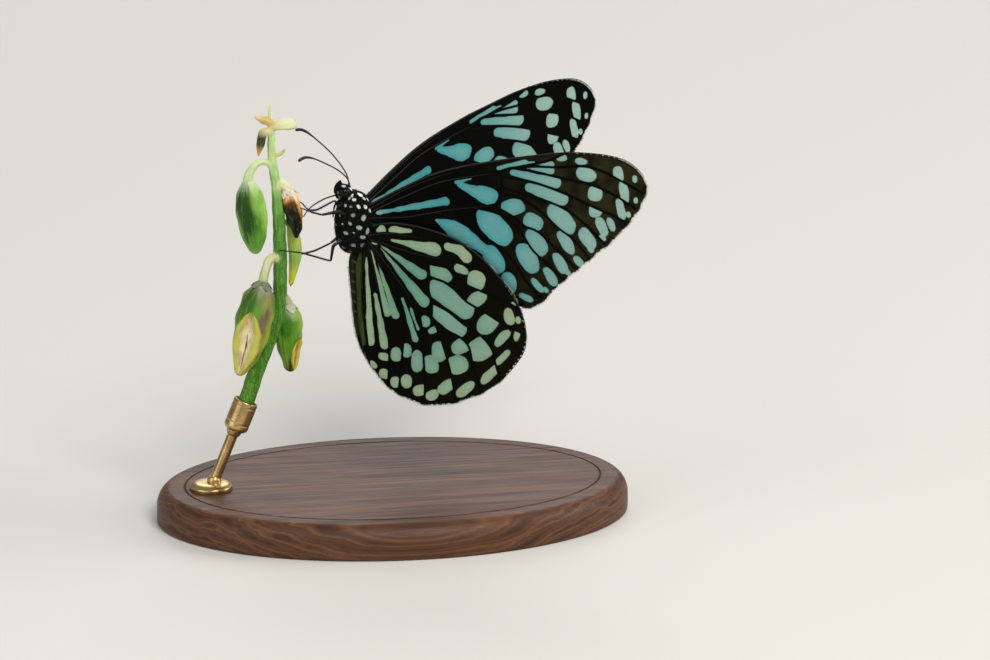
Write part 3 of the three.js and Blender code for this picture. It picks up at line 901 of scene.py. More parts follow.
def wingPlace(wing, side, plane, offset=0.0):
    # where a place in the wing's plane lies on the body, with offset towards the upper side
    c, s = heading(wing["lift"][side])
    x, z = plane[:, 0] * c - plane[:, 1] * s, plane[:, 0] * s + plane[:, 1] * c
    inside, outside = np.maximum(wing["tuckStart"] - x, 0), np.maximum(wing["tuckStart"], x)
    angle = math.radians(wing["spread"][side])
    fold = math.radians(wing["tuck"]) * np.minimum(inside / membrane["tuckWidth"], 1)
    bow = -membrane["camber"] * np.sin(math.pi * np.maximum(x, 0) / membrane["span"])
    lifted = bow + relief(plane) + offset
    back = outside * math.cos(angle) - inside * np.cos(angle - fold / 2) + lifted * np.sin(angle - fold)
    out = outside * math.sin(angle) - inside * np.sin(angle - fold / 2) - lifted * np.cos(angle - fold)
    return (np.stack([back, out, z], 1) + wing["hinge"]) * (1, -1 if side == "left" else 1, 1)


def streakGap(plane, streak):
    # how far outside a tapered streak each place lies, negative inside it, and the streak's middle there
    start, end = np.array(streak[0:2]), np.array(streak[2:4])
    way = end - start
    share = np.clip((plane - start) @ way / (way @ way), 0, 1)
    width = streak[4] + share * (streak[5] - streak[4])
    middle = start + share[:, None] * way
    return np.linalg.norm(plane - middle, axis=1) - width, middle


def spotGap(plane, spot):
    x, y, halfLength, halfWidth, tilt = spot
    c, s = heading(tilt)
    local = (plane - (x, y)) @ np.array([[c, -s], [s, c]])
    share = np.abs(local / (halfLength, halfWidth)) ** membrane["squareness"]
    near = share.sum(1) ** (1 / membrane["squareness"])
    return (near - 1) * min(halfLength, halfWidth), np.repeat([[x, y]], len(plane), 0)


def crossed(a, b, starts, ends):
    # which of the straight ways from a to b cross any of the lines from starts to ends
    def turned(first, second):
        return first[..., 0] * second[..., 1] - first[..., 1] * second[..., 0]

    a, b = a[:, None], b[:, None]
    apart = turned(ends - starts, a - starts) * turned(ends - starts, b - starts) < 0
    return (apart & (turned(b - a, starts - a) * turned(b - a, ends - a) < 0)).any(1)


def outerShare(plane):
    # 1 along the outer margin, 0 along the edges that run in to the body
    return stepped(plane @ membrane["outerWay"], *membrane["outerFrom"])


def marginDip(veinGap):
    return membrane["scallop"] * stepped(veinGap, 0.2, 1.8)


def wingPlan(wing):
    # what both sides of the body share: the plane's points and what lies there
    rows, columns = membrane["along"] + 1, membrane["across"] + 1
    u, v = np.meshgrid(np.linspace(0, 0.9995, rows), np.linspace(0, 1, columns), indexing="ij")
    plane = onPlane(wing, u.ravel(), v.ravel())
    lines = [roundedPath(points, 4 * len(points)) for points, *_ in wing["veins"]]
    veins = [evenSteps(line, int(lengthsAlong(line)[-1] / membrane["veinStep"]) + 2) for line in lines]
    widths = [np.linspace(*ends, len(line)) for (_, *ends), line in zip(wing["veins"], veins)]
    shares = np.linspace(0, 1, 700)
    leading = throughPoints(wing["leading"], shares)
    rim = np.vstack([throughPoints(wing["trailing"], shares), leading[::-1]])
    rimGap, rimPoint = nearest(plane, rim)
    veinGap, veinPoint = nearest(plane, np.vstack(veins))
    # the margin dips between the veins
    rimPlace = rim[rimPoint]
    inward = np.where(rimGap[:, None] > 0.02, unit(plane - rimPlace), unit(rim.mean(0) - plane))
    dip = marginDip(veinGap) * stepped(rimGap, membrane["scallopReach"], 0) * outerShare(rimPlace)
    plane = plane + inward * dip[:, None]
    # a pale mark ends at the veins round its own cell
    starts, ends = np.vstack([line[:-1] for line in lines]), np.vstack([line[1:] for line in lines])
    pale, outOfCell = [], membrane["outOfCell"]
    for gapOf, marks in ((streakGap, wing["streaks"]), (spotGap, wing["spots"])):
        for gap, middle in (gapOf(plane, mark) for mark in marks):
            inside = np.flatnonzero(gap < outOfCell)
            gap[inside[crossed(middle[inside], plane[inside], starts, ends)]] = outOfCell
            pale.append(gap)
    return {
        "plane": plane,
        "veins": veins,
        "veinWidths": widths,
        "rim": rim,
        "leadGap": nearest(plane, leading)[0],
        "noted": {
            "paleGap": np.min(pale, axis=0),
            "veinEdge": veinGap - np.concatenate(widths)[veinPoint],
            "rimGap": rimGap,
            "oliveGap": streakGap(plane, wing["olive"])[0] if "olive" in wing else rimGap + 9,
        },
    }


def wingMaterial(kind):
    paint = Paint(kind + "Scales", roughness=0.8, specular=0.04)
    place = paint.noted("wingPlane", "Vector")
    reach = place.length() / membrane["span"]
    under, veinEdge = paint.noted("underside"), paint.noted("veinEdge")
    # the pale marks, ragged at their edges and clear of the veins
    ragged = place.noise(5, 3).wavering(0.16) + place.noise(0.55, 0).wavering(0.36)
    paleEdge = paint.noted("paleGap") + ragged
    clear = veinEdge.spread(membrane["veinClear"] - 0.05, membrane["veinClear"] + 0.05)
    rays = place.stretched((0.35, 1.6, 1)).noise(1.2, 3)
    # the pale marks' colours; on the forewing their turquoise is partly a painted reflection of blue sky
    pale = (reach + rays * 0.06).steps(wingPaint[kind])
    if kind == "hindwing":
        pale = pale.under(wingPaint["margin"], paint.noted("rimGap").spread(8.5, 1.0))
        pale = pale.under(wingPaint["upperPale"], (1.0 - under) * 0.6)
    pale = pale.under(wingPaint["dust"], rays.spread(0.35, 0.75) * 0.3)
    pale = pale.under(wingPaint["core"], paleEdge.spread(-0.1, -0.9) * 0.1)
    cells = place.stretched((1, 1.7, 1)).cells(wingPaint["scalesPerMm"])
    pale = pale.under(wingPaint["scaleEdge"], cells * 0.4)
    # the dark ground between them
    outer = reach.spread(0.35, 0.85) * place.noise(0.35, 4).spread(0.2, 0.7)
    brown = outer.between(wingPaint["underGround"][kind], wingPaint["underEdge"][kind])
    speckle = place.noise(7, 3)
    ground = under.between(wingPaint["upperGround"], brown)
    ground = ground.under(wingPaint["speckle"], speckle.spread(0.5, 0.8) * 0.07)
    ground = ground.under(wingPaint["olive"], paint.noted("oliveGap").spread(0.15, -0.15))
    ground = ground.under(wingPaint["vein"], veinEdge.spread(0.3, 0.02))
    colour = ground.under(pale, paleEdge.spread(0.07, -0.07) * clear)
    return paint.cover(colour, cells * 0.5 + speckle, 0.35, 0.00006)


def plainHorn(name, colour, lighter, roughness, scale=9000):
    paint = Paint(name, roughness, specular=0.35)
    grain = paint.place().noise(scale, 3)
    return paint.cover(grain.spread(0.35, 0.75).between(colour, lighter), grain, 0.3, 0.00003)


def fringeMaterial():
    paint = Paint("fringeScales", roughness=0.7, specular=0.15)
    pale = paint.place().noise(6000, 2).between(*fringe["pale"])
    return paint.cover((paint.noted("whiteness") * 0.85).between(fringe["dark"], pale))


def buildWing(kind, side, plan, material):
    wing, plane, name = wings[kind], plan["plane"], f"{kind}_{side}"
    count = len(plane)
    thin, thick = membrane["rimThickness"], membrane["halfThickness"]
    half = thin + (thick - thin) * stepped(plan["noted"]["rimGap"], 0, 1)
    costa = hump(plan["leadGap"], membrane["costaWidth"]) * stepped(plane[:, 0], 40, 8)
    half = half + membrane["costaThickness"] * costa
    points = np.vstack([wingPlace(wing, side, plane, half), wingPlace(wing, side, plane, -half)])
    # both sides' faces, and a wall of faces between their borders
    rows, columns = membrane["along"] + 1, membrane["across"] + 1
    upper = gridFaces(rows, columns)
    index = np.arange(count).reshape(rows, columns)
    border = np.concatenate([index[0], index[1:, -1], index[-1, -2::-1], index[-2:0:-1, 0]])
    beyond = np.roll(border, -1)
    walls = np.stack([border, beyond, beyond + count, border + count], 1)
    faces = np.vstack([upper[:, ::-1], upper + count, walls]).tolist()
    made = closedShell(name + "_membrane", toFrame(points), faces, material)
    noted = {key: np.tile(values, 2) for key, values in plan["noted"].items()}
    note(made, wingPlane=inSpace(np.tile(plane, (2, 1))), underside=np.repeat([0, 1], count), **noted)
    # every third point of each vein, and the costa along the leading edge
    costaLine = throughPoints(wing["leading"], np.linspace(0, 0.93, 120))
    lines = [line[::3] for line in plan["veins"]] + [costaLine]
    widths = [width[::3] * 0.52 for width in plan["veinWidths"]] + [np.linspace(0.2, 0.05, 120)]
    lines = [wingPlace(wing, side, line) for line in lines]
    pieces = [
        tubePiece(name + "_veins", lines, widths, 8, veinHorn),
        buildFringe(name, wing, side, plan),
        buildRootHair(name, wing, side, plan, made),
    ]
    finishPiece(made, "wing_scales", name)
    for piece in pieces:
        finishPiece(piece, "wing_scales")


def overWing(obj):
    # the flattened wing, its upper side on the left half of the map and its underside on the right
    x, y, _ = read(obj, "wingPlane").T
    across = 0.01 + 0.48 * (x + 3) / 54 + 0.5 * read(obj, "underside")
    return np.stack([across, 0.02 + 0.96 * (y + 30) / 48], 1)


def buildFringe(name, wing, side, plan):
    # a row of narrow scales that stand out from the margin, white between the veins
    first, last = (int(share * len(plan["rim"])) for share in wing["fringe"])
    line = evenSteps(plan["rim"][first:last], 500)
    veinGap, _ = nearest(line, np.vstack(plan["veins"]))
    ahead = unit(np.gradient(line, axis=0))
    out = np.stack([ahead[:, 1], -ahead[:, 0]], 1)
    line = line - out * (0.1 + marginDip(veinGap))[:, None]
    root = wingPlace(wing, side, line)
    carrier = lineObject("rimLine", [root])
    white = stepped(veinGap, fringe["whiteFrom"], fringe["whiteFrom"] + 0.35) * outerShare(line)
    note(carrier, lie=unit(wingPlace(wing, side, line + out * 0.3) - root),
         outward=unit(wingPlace(wing, side, line, 0.3) - root), tuftBreadth=1,
         tuftLength=0.8 + 0.35 * stepped(veinGap, 0.3, 1.2), whiteness=white,
         wingPlane=inSpace(line), underside=0)
    made = growTufts(name + "_fringe", carrier, fringe, fringeScales, overWing)
    drop(carrier)
    return made


def buildRootHair(name, wing, side, plan, blade):
    # fine hairs over the root of the wing, which lie along it
    carrier = newObject("rootCarrier", blade.data.copy())
    plane = plan["plane"]
    onward = plane + unit(plane + (0.01, 0)) * 0.2
    lie = unit(wingPlace(wing, side, onward) - wingPlace(wing, side, plane))
    share = stepped(np.linalg.norm(plane, axis=1), rootHair["reach"], 1)
    if wing["tuck"]:
        # the edge that turns in behind the body is hairy too
        share = np.maximum(share, stepped(plane[:, 0], 0.2, -1.4) * stepped(-plane[:, 1], 20, 12) * 0.6)
    share = share * stepped(plan["noted"]["paleGap"], -0.1, 0.3)
    note(carrier, lie=np.tile(lie, (2, 1)), tuftShare=np.tile(share, 2), tuftLength=1, tuftBreadth=1)
    made = growTufts(name + "_hair", carrier, rootHair, rootHairs, overWing)
    drop(carrier)
    return made


veinHorn = plainHorn("veinHorn", (5, 5, 4), (16, 14, 9), 0.6)
rootHairs = plainHorn("rootHairs", (9, 9, 7), (30, 31, 24), 0.65)
fringeScales = fringeMaterial()
for kind in wings:
    plan = wingPlan(wings[kind])
    material = wingMaterial(kind)
    for side in ("left", "right"):
        buildWing(kind, side, plan, material)
    print(kind, "pair made")


# Body: one skin over head, palps, thorax and abdomen, with its coat of short hair

body = {
    # height, belly side, back side and half width of each station
    "thorax": [
        (-6.2, -2.6, -2.6, 0), (-5.7, -4.3, -0.4, 1.5), (-4.4, -5.4, 0.6, 2.3), (-2.2, -5.95, 1.15, 2.85),
        (0.2, -6, 1.35, 3), (2.3, -5.5, 1, 2.75), (3.8, -4.7, 0.2, 2.2), (4.9, -3.7, -0.8, 1.5),
        (5.4, -2.4, -2.4, 0),
    ],
    "abdomen": [
        (-18.4, -1.5, -1.5, 0), (-17.3, -2.4, -0.2, 1.1), (-14.5, -2.9, 0.7, 1.8), (-11, -3.05, 1.15, 2.1),
        (-7, -3, 1.1, 2), (-5.2, -2.6, 0.4, 1.4), (-4.6, -1.2, -1.2, 0),
    ],
    "coatDepth": {"thorax": 0.25, "abdomen": 0.1},
    "lumps": [
        # middle and half sizes; those away from the middle plane are made on both sides
        ((-4.15, 0, 4.85), (1.42, 1.38, 1.47)), ((-5.15, 0, 4.75), (0.6, 0.66, 0.95)),
        ((-3.4, 0, 4.3), (1.1, 1.15, 1.2)), ((-2.7, 0, 4.55), (1.15, 1.75, 0.62)),
        ((-0.7, 2.2, 2.3), (0.9, 0.5, 1.35)), ((0.6, 0, -2.6), (0.6, 1.25, 0.9)),
        ((-1.4, 2.55, -1.4), (1.2, 0.4, 1.5)), ((-4.6, 0.9, 2.6), (0.7, 0.6, 1)),
        ((-4.4, 1.5, 0.9), (0.75, 0.75, 1.15)), ((-4.4, 1.35, -2.4), (0.75, 0.75, 1.15)),
    ],
    "palp": [(-4.7, 0.45, 4.4), (-5.5, 0.5, 4.9), (-5.3, 0.5, 6), (-4.6, 0.5, 6.9)],
    "palpRadii": [0.3, 0.36, 0.32, 0.16],
    # where the middle of each lies, from the belly's side to the back's
    "axis": {"head": -4.1, "thorax": -2.3, "abdomen": -0.95},
    "voxel": 0.105,
    "smoothing": 5,
    "ringSpacing": 1.75,  # between the grooves of the abdomen
    "ringDepth": 0.09,
    # the seams between the thorax's plates: place across, height, tilt and depth
    "seams": [(-0.4, 1.6, 68, 0.14), (-2.9, 0.2, 76, 0.1), (-0.2, -1.9, -8, 0.12)],
    "seamWidth": 0.16,
}
# seen from the side: place across, height, half length, half width, tilt, tone from white to olive
bodySpots = [
    (-4.35, 6.15, 0.36, 0.25, -35, 0.1), (-3.15, 5.65, 0.55, 0.27, -32, 0.05),
    (-5.25, 5.1, 0.27, 0.2, 60, 0.3), (-1.65, 4.65, 0.62, 0.4, -40, 0), (-3.1, 4.7, 0.4, 0.24, 60, 0.25),
    (-2.75, 4, 0.4, 0.3, -10, 0.2), (-3.5, 4.1, 0.3, 0.2, 60, 0.4), (-1, 4, 0.42, 0.25, -25, 0.15),
    (-4.2, 3, 0.3, 0.25, -60, 0.4), (-3.4, 2.9, 0.3, 0.18, 0, 0.6), (-2.1, 2.9, 0.45, 0.32, -60, 0.2),
    (-1, 2.9, 0.42, 0.3, -60, 0.1), (-0.2, 2.2, 0.5, 0.28, -55, 0.15), (-3.1, 1.55, 0.42, 0.36, 0, 0.55),
    (-1.3, 1, 0.6, 0.5, 60, 0.45), (0.3, 0.8, 0.42, 0.24, -60, 0.3), (-5.1, 1.3, 0.3, 0.26, 0, 0.6),
    (-3.6, 0.1, 0.4, 0.3, -50, 0.5), (-2.1, -0.6, 0.6, 0.4, -15, 0.5), (-0.65, -1.3, 0.66, 0.36, 80, 0.5),
    (-4.3, -1.6, 0.5, 0.34, -15, 0.55), (-3, -1.5, 0.22, 0.14, -20, 0.5),
    (-1.5, -2.3, 0.52, 0.38, -10, 0.55), (-3, -3.8, 0.48, 0.36, -15, 0.55),
    (-1.4, -3.9, 0.5, 0.4, 30, 0.5), (-4.5, -4.4, 0.36, 0.24, -15, 0.85), (-3.4, -5.1, 0.36, 0.24, 10, 1),
    (-5.1, 3.9, 0.3, 0.2, 50, 0.5), (-5.7, -0.5, 0.26, 0.2, 60, 0.6), (-4.8, -0.1, 0.22, 0.16, 0, 0.5),
    (-5.2, -3, 0.3, 0.2, -10, 0.7), (-5.1, 4.4, 0.24, 0.18, 40, 0.5),
]
# seen from outside the body axis: angle from the back, height, half length, half width, tone
roundSpots = [
    (0, 5.9, 0.32, 0.2, 0.05), (24, 3.7, 0.3, 0.18, 0.1), (22, 1.5, 0.5, 0.18, 0.15),
    (22, -0.8, 0.42, 0.17, 0.2), (0, -2.6, 0.4, 0.32, 0.15), (34, -3.3, 0.3, 0.2, 0.25),
    (180, 1.8, 0.34, 0.24, 0.6), (180, -2.2, 0.34, 0.24, 0.6), (88, -7.2, 0.42, 0.26, 0.15),
    (88, -8.9, 0.42, 0.26, 0.15), (88, -10.7, 0.42, 0.26, 0.15), (88, -12.4, 0.4, 0.25, 0.15),
    (88, -14.1, 0.36, 0.22, 0.15), (88, -15.7, 0.28, 0.2, 0.15),
]
coat = {
    # tufts on each square mm, their length and breadth in mm, and how far they stand off the skin
    "coat": {
        "perSquareMm": 26, "length": 0.42, "breadth": 0.075, "rise": 0.24, "scatter": 0.28, "bend": 0.12,
        "seed": 4,
    },
    "down": {
        "perSquareMm": 7, "length": 0.95, "breadth": 0.05, "rise": 0.42, "scatter": 0.28, "bend": 0.3,
        "seed": 9,
    },
}
bodyPaint = {
    "black": ((2, 2, 2), (9, 9, 7)),
    "belly": (40, 32, 22),
    "band": (150, 150, 130),
    "spotStops": [
        (0.0, (240, 244, 242)), (0.35, (174, 196, 184)), (0.7, (130, 156, 134)), (1.0, (128, 130, 52)),
    ],
    "spotShade": (96, 110, 100),
    "tip": (60, 62, 52),
}


def stationShell(stations, depth):
    # a closed body through its stations, smaller by depth all round
    rows = columns = 72
    height, belly, back, half = throughPoints(stations, np.linspace(0.003, 0.997, rows)).T
    deep, wide = np.maximum((back - belly) / 2 - depth, 0.02), np.maximum(half - depth, 0.02)
    middle = (height[0] + height[-1]) / 2
    height = middle + (height - middle) * (1 - 2 * depth / (height[-1] - height[0]))
    centres = np.stack([(belly + back) / 2, 0 * height, height], 1)
    return closedLoft("shell", ovalRings(centres, (1, 0, 0), (0, 1, 0), deep, wide, columns))


def ringGroove(height, width):
    # 1 in the grooves between the abdomen's rings
    return hump((height + 6.2) / body["ringSpacing"] % 1 - 0.5, width)


def bodySkin():
    parts = [stationShell(body[name], depth) for name, depth in body["coatDepth"].items()]
    for middle, halfSizes in body["lumps"]:
        for side in (-1, 1) if middle[1] else (1,):
            parts.append(roundLump(np.array(middle) * (1, side, 1), halfSizes, 22))
    parts += [limbShell(path, body["palpRadii"], 24, 60) for path in bothSides(body["palp"])]
    skin = remeshed("body_skin", parts, body["voxel"], body["smoothing"])
    points = pointsOf(skin)
    x, y, z = points.T
    groove = ringGroove(z, 0.11) * stepped(z, -6.4, -7.4) * stepped(z, -17.6, -16.5)
    axis = points * (0, 0, 1) + (body["axis"]["abdomen"], 0, 0)
    points -= unit(points - axis) * (body["ringDepth"] * groove)[:, None]
    for middle, height, tilt, depth in body["seams"]:
        c, s = heading(tilt)
        across, along = (z - height) * c - (x - middle) * s, (x - middle) * c + (z - height) * s
        cut = depth * hump(across, body["seamWidth"]) * stepped(np.abs(along), 3.2, 1.8)
        y -= np.sign(y) * (cut * stepped(np.abs(y), 0.9, 1.8))
    movePoints(skin, points)
    return skin


def bodyAxis(height):
    head, thorax, abdomen = body["axis"].values()
    return np.where(height > 4.5, head, np.where(height > -5.5, thorax, abdomen))


def spotPlaces(skin):
    # where each spot lies on the skin, with its own directions and half sizes
    faces = [tuple(p.vertices) for p in skin.data.polygons]
    tree = BVHTree.FromPolygons(pointsOf(skin).tolist(), faces)
    found = []
    for x, z, halfLength, halfWidth, tilt, tone in bodySpots:
        c, s = heading(tilt)
        for side in (-1, 1):
            hit, normal, *_ = tree.ray_cast(Vector((x, 9 * side, z)), Vector((0, -side, 0)))
            if hit is None:
                hit, normal, *_ = tree.find_nearest(Vector((x, side, z)))
            found.append((hit, normal, Vector((c, 0, s)), halfLength * 0.88, halfWidth * 0.86, tone))
    for angle, z, halfLength, halfWidth, tone in roundSpots:
        c, s = heading(angle)
        for side in (-1, 1) if angle % 180 else (1,):
            outward = Vector((c, side * s, 0))
            middle = Vector((float(bodyAxis(z)), 0, z))
            hit, normal, *_ = tree.ray_cast(middle + outward * 9, -outward)
            found.append((hit, normal, Vector((0, 0, 1)), halfLength, halfWidth, tone))
    return found


def markSpots(skin):
    # how far outside the nearest spot each point lies, and that spot's tone
    points = pointsOf(skin)
    best, tones = np.full(len(points), 9.0), np.zeros(len(points))
    for hit, normal, along, halfLength, halfWidth, tone in spotPlaces(skin):
        along = (along - normal * along.dot(normal)).normalized()
        away = points - np.array(hit)
        reach = np.sqrt((away @ np.array(along) / halfLength) ** 2
                        + (away @ np.array(normal.cross(along)) / halfWidth) ** 2
                        + (away @ np.array(normal) / 0.8) ** 2)
        gap = (reach - 1) * halfWidth
        nearer = gap < best
        best[nearer], tones[nearer] = gap[nearer], tone
    note(skin, spotGap=best, spotTone=tones)


def markCoat(skin):
    # the lie of the coat, and how thick and long it grows in each place
    points = pointsOf(skin)
    normals = np.array([v.normal for v in skin.data.vertices])
    x, y, z = points.T
    head = stepped(z, 4, 5) * stepped(x, -2.2, -3.2)
    palps = stepped(-x, 4.7, 5.1) * stepped(z, 4.2, 4.8)
    tail = stepped(z, -5.4, -6.6)
    flow = np.stack([0.25 - 0.5 * head, 0.12 * np.sign(y), -1 + 0.4 * head], 1)
    flow = flow * (1 - palps)[:, None] + palps[:, None] * np.array([-0.35, 0, 1])
    lie = unit(flow - normals * (flow * normals).sum(1)[:, None])
    gaps = [np.linalg.norm((points - eye) / eyes["radii"], axis=1) for eye in bothSides(eyes["centre"])]
    bare = stepped(np.min(gaps, axis=0), 1.02, 1.2)
    # short flat scales in the pale spots, and no down
    offSpot = stepped(read(skin, "spotGap"), -0.1, 0.4)
    down = offSpot * bare * (1 - tail) * (1 - 0.75 * head) * (0.35 + 0.65 * stepped(np.abs(y), 0.4, 1.6))
    length = (1 - 0.45 * head - 0.42 * tail) * (1 + 0.25 * palps) * (0.55 + 0.45 * offSpot)
    note(skin, lie=lie, tuftShare=bare * (0.75 + 0.25 * (1 - tail)), tuftLength=length,
         tuftBreadth=1 - 0.3 * head - 0.1 * tail, downShare=down,
         belly=tail * stepped(-x, 2.1, 2.9), band=tail * ringGroove(z, 0.1))


def furMaterial(name, onTufts):
    paint = Paint(name, 0.75, 0.06, {"Sheen Weight": 0.05, "Sheen Roughness": 0.5})
    place = paint.place()
    grain, patches = place.noise(5200, 3), place.noise(900, 3)
    colour = grain.spread(0.35, 0.75).between(*bodyPaint["black"])
    colour = colour.under(bodyPaint["belly"], paint.noted("belly") * patches.spread(0.3, 0.6) * 0.8)
    colour = colour.under(bodyPaint["band"], paint.noted("band") * 0.25)
    spot = paint.noted("spotTone").steps(bodyPaint["spotStops"])
    spot = spot.under(bodyPaint["spotShade"], patches.spread(0.45, 0.7) * 0.35)
    edge = paint.noted("spotGap") + grain.wavering(0.16)
    colour = colour.under(spot, edge.spread(0.05, -0.05))
    if onTufts:
        return paint.cover(colour.under(bodyPaint["tip"], paint.noted("alongTuft").spread(0.5, 1) * 0.12))
    fibres = place.stretched((1, 1, 0.25)).noise(9000, 3)
    return paint.cover(colour, fibres + grain, 0.55, 0.00008)


def aroundBody(obj):
    return unrolled(obj, bodyAxis, -18.6, 26)


skin = bodySkin()
markSpots(skin)
markCoat(skin)
moveToFrame(skin, furMaterial("bodyScales", onTufts=False))
finishPiece(skin, "body_fur", "head", "thorax", "abdomen", "palp_left", "palp_right")
coatFur = furMaterial("bodyHairs", onTufts=True)
finishPiece(growTufts("body_coat", skin, coat["coat"], coatFur, aroundBody), "body_fur")
skin.data.attributes["tuftShare"].data.foreach_set("value", read(skin, "downShare"))
finishPiece(growTufts("body_down", skin, coat["down"], coatFur, aroundBody), "body_fur")
print("body skin and coat made")


# Eyes

def eyeMaterial():
    paint = Paint("eyeLens", 0.16, 0.12, {"Coat Weight": 0.1, "Coat Roughness": 0.05})
    place = paint.place()
    colour = place.noise(1300, 3).spread(0.35, 0.7).between(*eyes["colours"])
    return paint.cover(colour, place.cells(eyes["facetsPerMm"] * 1000), 0.25, 0.00002)


eyeLens = eyeMaterial()
for side, centre in zip(("left", "right"), bothSides(eyes["centre"])):
    eye = roundLump(centre, eyes["radii"], eyes["rings"])
    eye.name = f"eye_{side}_lens"
    moveToFrame(eye, eyeLens)
    finishPiece(eye, "eye", f"eye_{side}")
print("eyes made")


# Antennae and proboscis

feelers = {
    "left": [
        (-3.3, -0.6, 5.9), (-3.75, -1.27, 7.44), (-5.41, -2.68, 9.36), (-8.09, -4.55, 11.35),
        (-10.76, -6.33, 12.94), (-12.1, -7.2, 13.3), (-13.26, -8, 12.99),
    ],
    "right": [
        (-3.2, 0.6, 5.9), (-3.46, 1.71, 7.46), (-5.23, 3.66, 10.13), (-7.48, 5.53, 12.28),
        (-9.57, 7.08, 13.8), (-10.42, 7.59, 14), (-11.13, 8, 13.8),
    ],
    "shaft": 0.125,
    "club": 0.265,
    "clubFrom": 0.7,
    "bulb": 0.26,  # at the root
    "rings": 42,
    "ringDepth": 0.13,
    "rows": 420,
    "proboscis": [(-5, 0, 4.6), (-7.6, 0, 3.85), (-9.95, 0, 2.45), (-11.15, 0, 0.9)],
    "proboscisRadii": (0.17, 0.1),
    "proboscisRows": 260,
}


def feelerWidths(share, length):
    shaft, club = feelers["shaft"], feelers["club"]
    width = shaft + (club - shaft) * stepped(share, feelers["clubFrom"], 0.93)
    width = np.maximum(width, feelers["bulb"] * hump(share - 0.012, 0.02))
    ringed = 1 - feelers["ringDepth"] * np.abs(np.sin(math.pi * feelers["rings"] * share)) ** 6
    return width * ringed * roundEnds(share, length, 0.3)


def buildAntenna(side, material):
    share = np.linspace(0, 1, feelers["rows"])
    line = roundedPath(feelers[side], len(share))
    widths = feelerWidths(share, lengthsAlong(line)[-1])
    made = tubePiece(f"antenna_{side}_rings", [line], [widths], 14, material)
    finishPiece(made, "feeler", f"antenna_{side}")


def buildProboscis(material):
    # two finely ringed tubes side by side
    count = feelers["proboscisRows"]
    line = roundedPath(feelers["proboscis"], count)
    width = np.linspace(*feelers["proboscisRadii"], count)
    width = width * (1 - 0.05 * np.sin(np.linspace(0, 140 * math.pi, count)) ** 2)
    width = width * roundEnds(np.linspace(0, 1, count), 8, 0.15) * 0.8
    lines = [line - (0, 0.055, 0), line + (0, 0.055, 0)]
    finishPiece(tubePiece("proboscis_tubes", lines, [width, width], 12, material), "feeler", "proboscis")


feelerHorn = plainHorn("feelerHorn", (9, 9, 7), (26, 24, 17), 0.38)
for side in ("left", "right"):
    buildAntenna(side, feelerHorn)
buildProboscis(feelerHorn)
print("antennae and proboscis made")


# Legs: each has its points, and which of them are the knee and the ankle

legs = {
    "foreleg_left": ([(-4.4, -0.9, 2.9), (-5.4, -1.1, 2.9), (-5.75, -1.05, 1.8),
                      (-5.95, -0.8, 0.4)], 1, 2),
    "foreleg_right": ([(-4.4, 0.9, 2.9), (-5.4, 1.1, 2.9), (-5.75, 1.05, 1.8), (-5.95, 0.8, 0.4)], 1, 2),
    "midleg_left": ([(-4, -1.6, 1.2), (-5.4, -2.5, 2.3), (-8.9, -5.5, 2.73), (-10.25, -2.8, 2.53),
                     (-11.5, -1, 2.7)], 2, 3),
    "midleg_right": ([(-4, 1.6, 0.8), (-5, 4.6, 2.2), (-8.4, 2.5, 1.29), (-9.63, 1.9, 1.45),
                      (-10.3, 1.6, 1.9), (-11.15, 1.3, 3), (-11.7, 1.4, 3.3)], 1, 3),
    "hindleg_left": ([(-4.2, -1.2, -2.6), (-6.4, -2, -3.8), (-7.42, -5.6, -5.39), (-11.89, -2.9, -4.47),
                      (-15.5, -1.6, -4.25)], 2, 3),
    "hindleg_right": ([(-4.2, 1.2, -2.6), (-5.72, 4.5, -5.2), (-8.6, 3.2, -6), (-10.6, 2.6, -6.25),
                       (-11.7, 2.9, -6.5), (-12.6, 3.1, -6.9)], 1, 3),
}
leg = {
    "rows": 300,
    "thigh": (0.3, 0.2),
    "shin": (0.15, 0.17),
    "foot": (0.145, 0.1),
    "footJoints": 5,
    "rounding": 0.35,
    "claw": 0.42,
    "spines": {
        "spacing": 0.34, "length": 0.3, "breadth": 0.075, "rise": 0.75, "scatter": 0.25, "bend": 0.0,
        "seed": 6,
    },
    "spineRows": (25, 115, 205, 295),  # where they stand round the leg
}


def legWidths(share, knee, ankle):
    thigh, shin, foot = leg["thigh"], leg["shin"], leg["foot"]
    places = [0, knee * 0.45, knee, ankle, 1]
    width = np.interp(share, places, [thigh[0], thigh[0], thigh[1], shin[1], foot[1]])
    width = np.where(share > knee, np.interp(share, [knee, ankle], shin), width)
    step = np.clip((share - ankle) / (1 - ankle), 0, 1)
    beads = 1 - 0.34 * np.abs(np.cos(math.pi * leg["footJoints"] * step)) ** 8
    width = np.where(share > ankle, np.interp(step, [0, 1], foot) * beads, width)
    for joint in (knee, ankle):
        width = width * (1 - 0.3 * hump(share - joint, 0.008))
    return width


def sideOn(obj):
    roots = read(obj, "rootPlace")
    return 0.5 + (roots - roots.mean(0))[:, [0, 2]] * 30


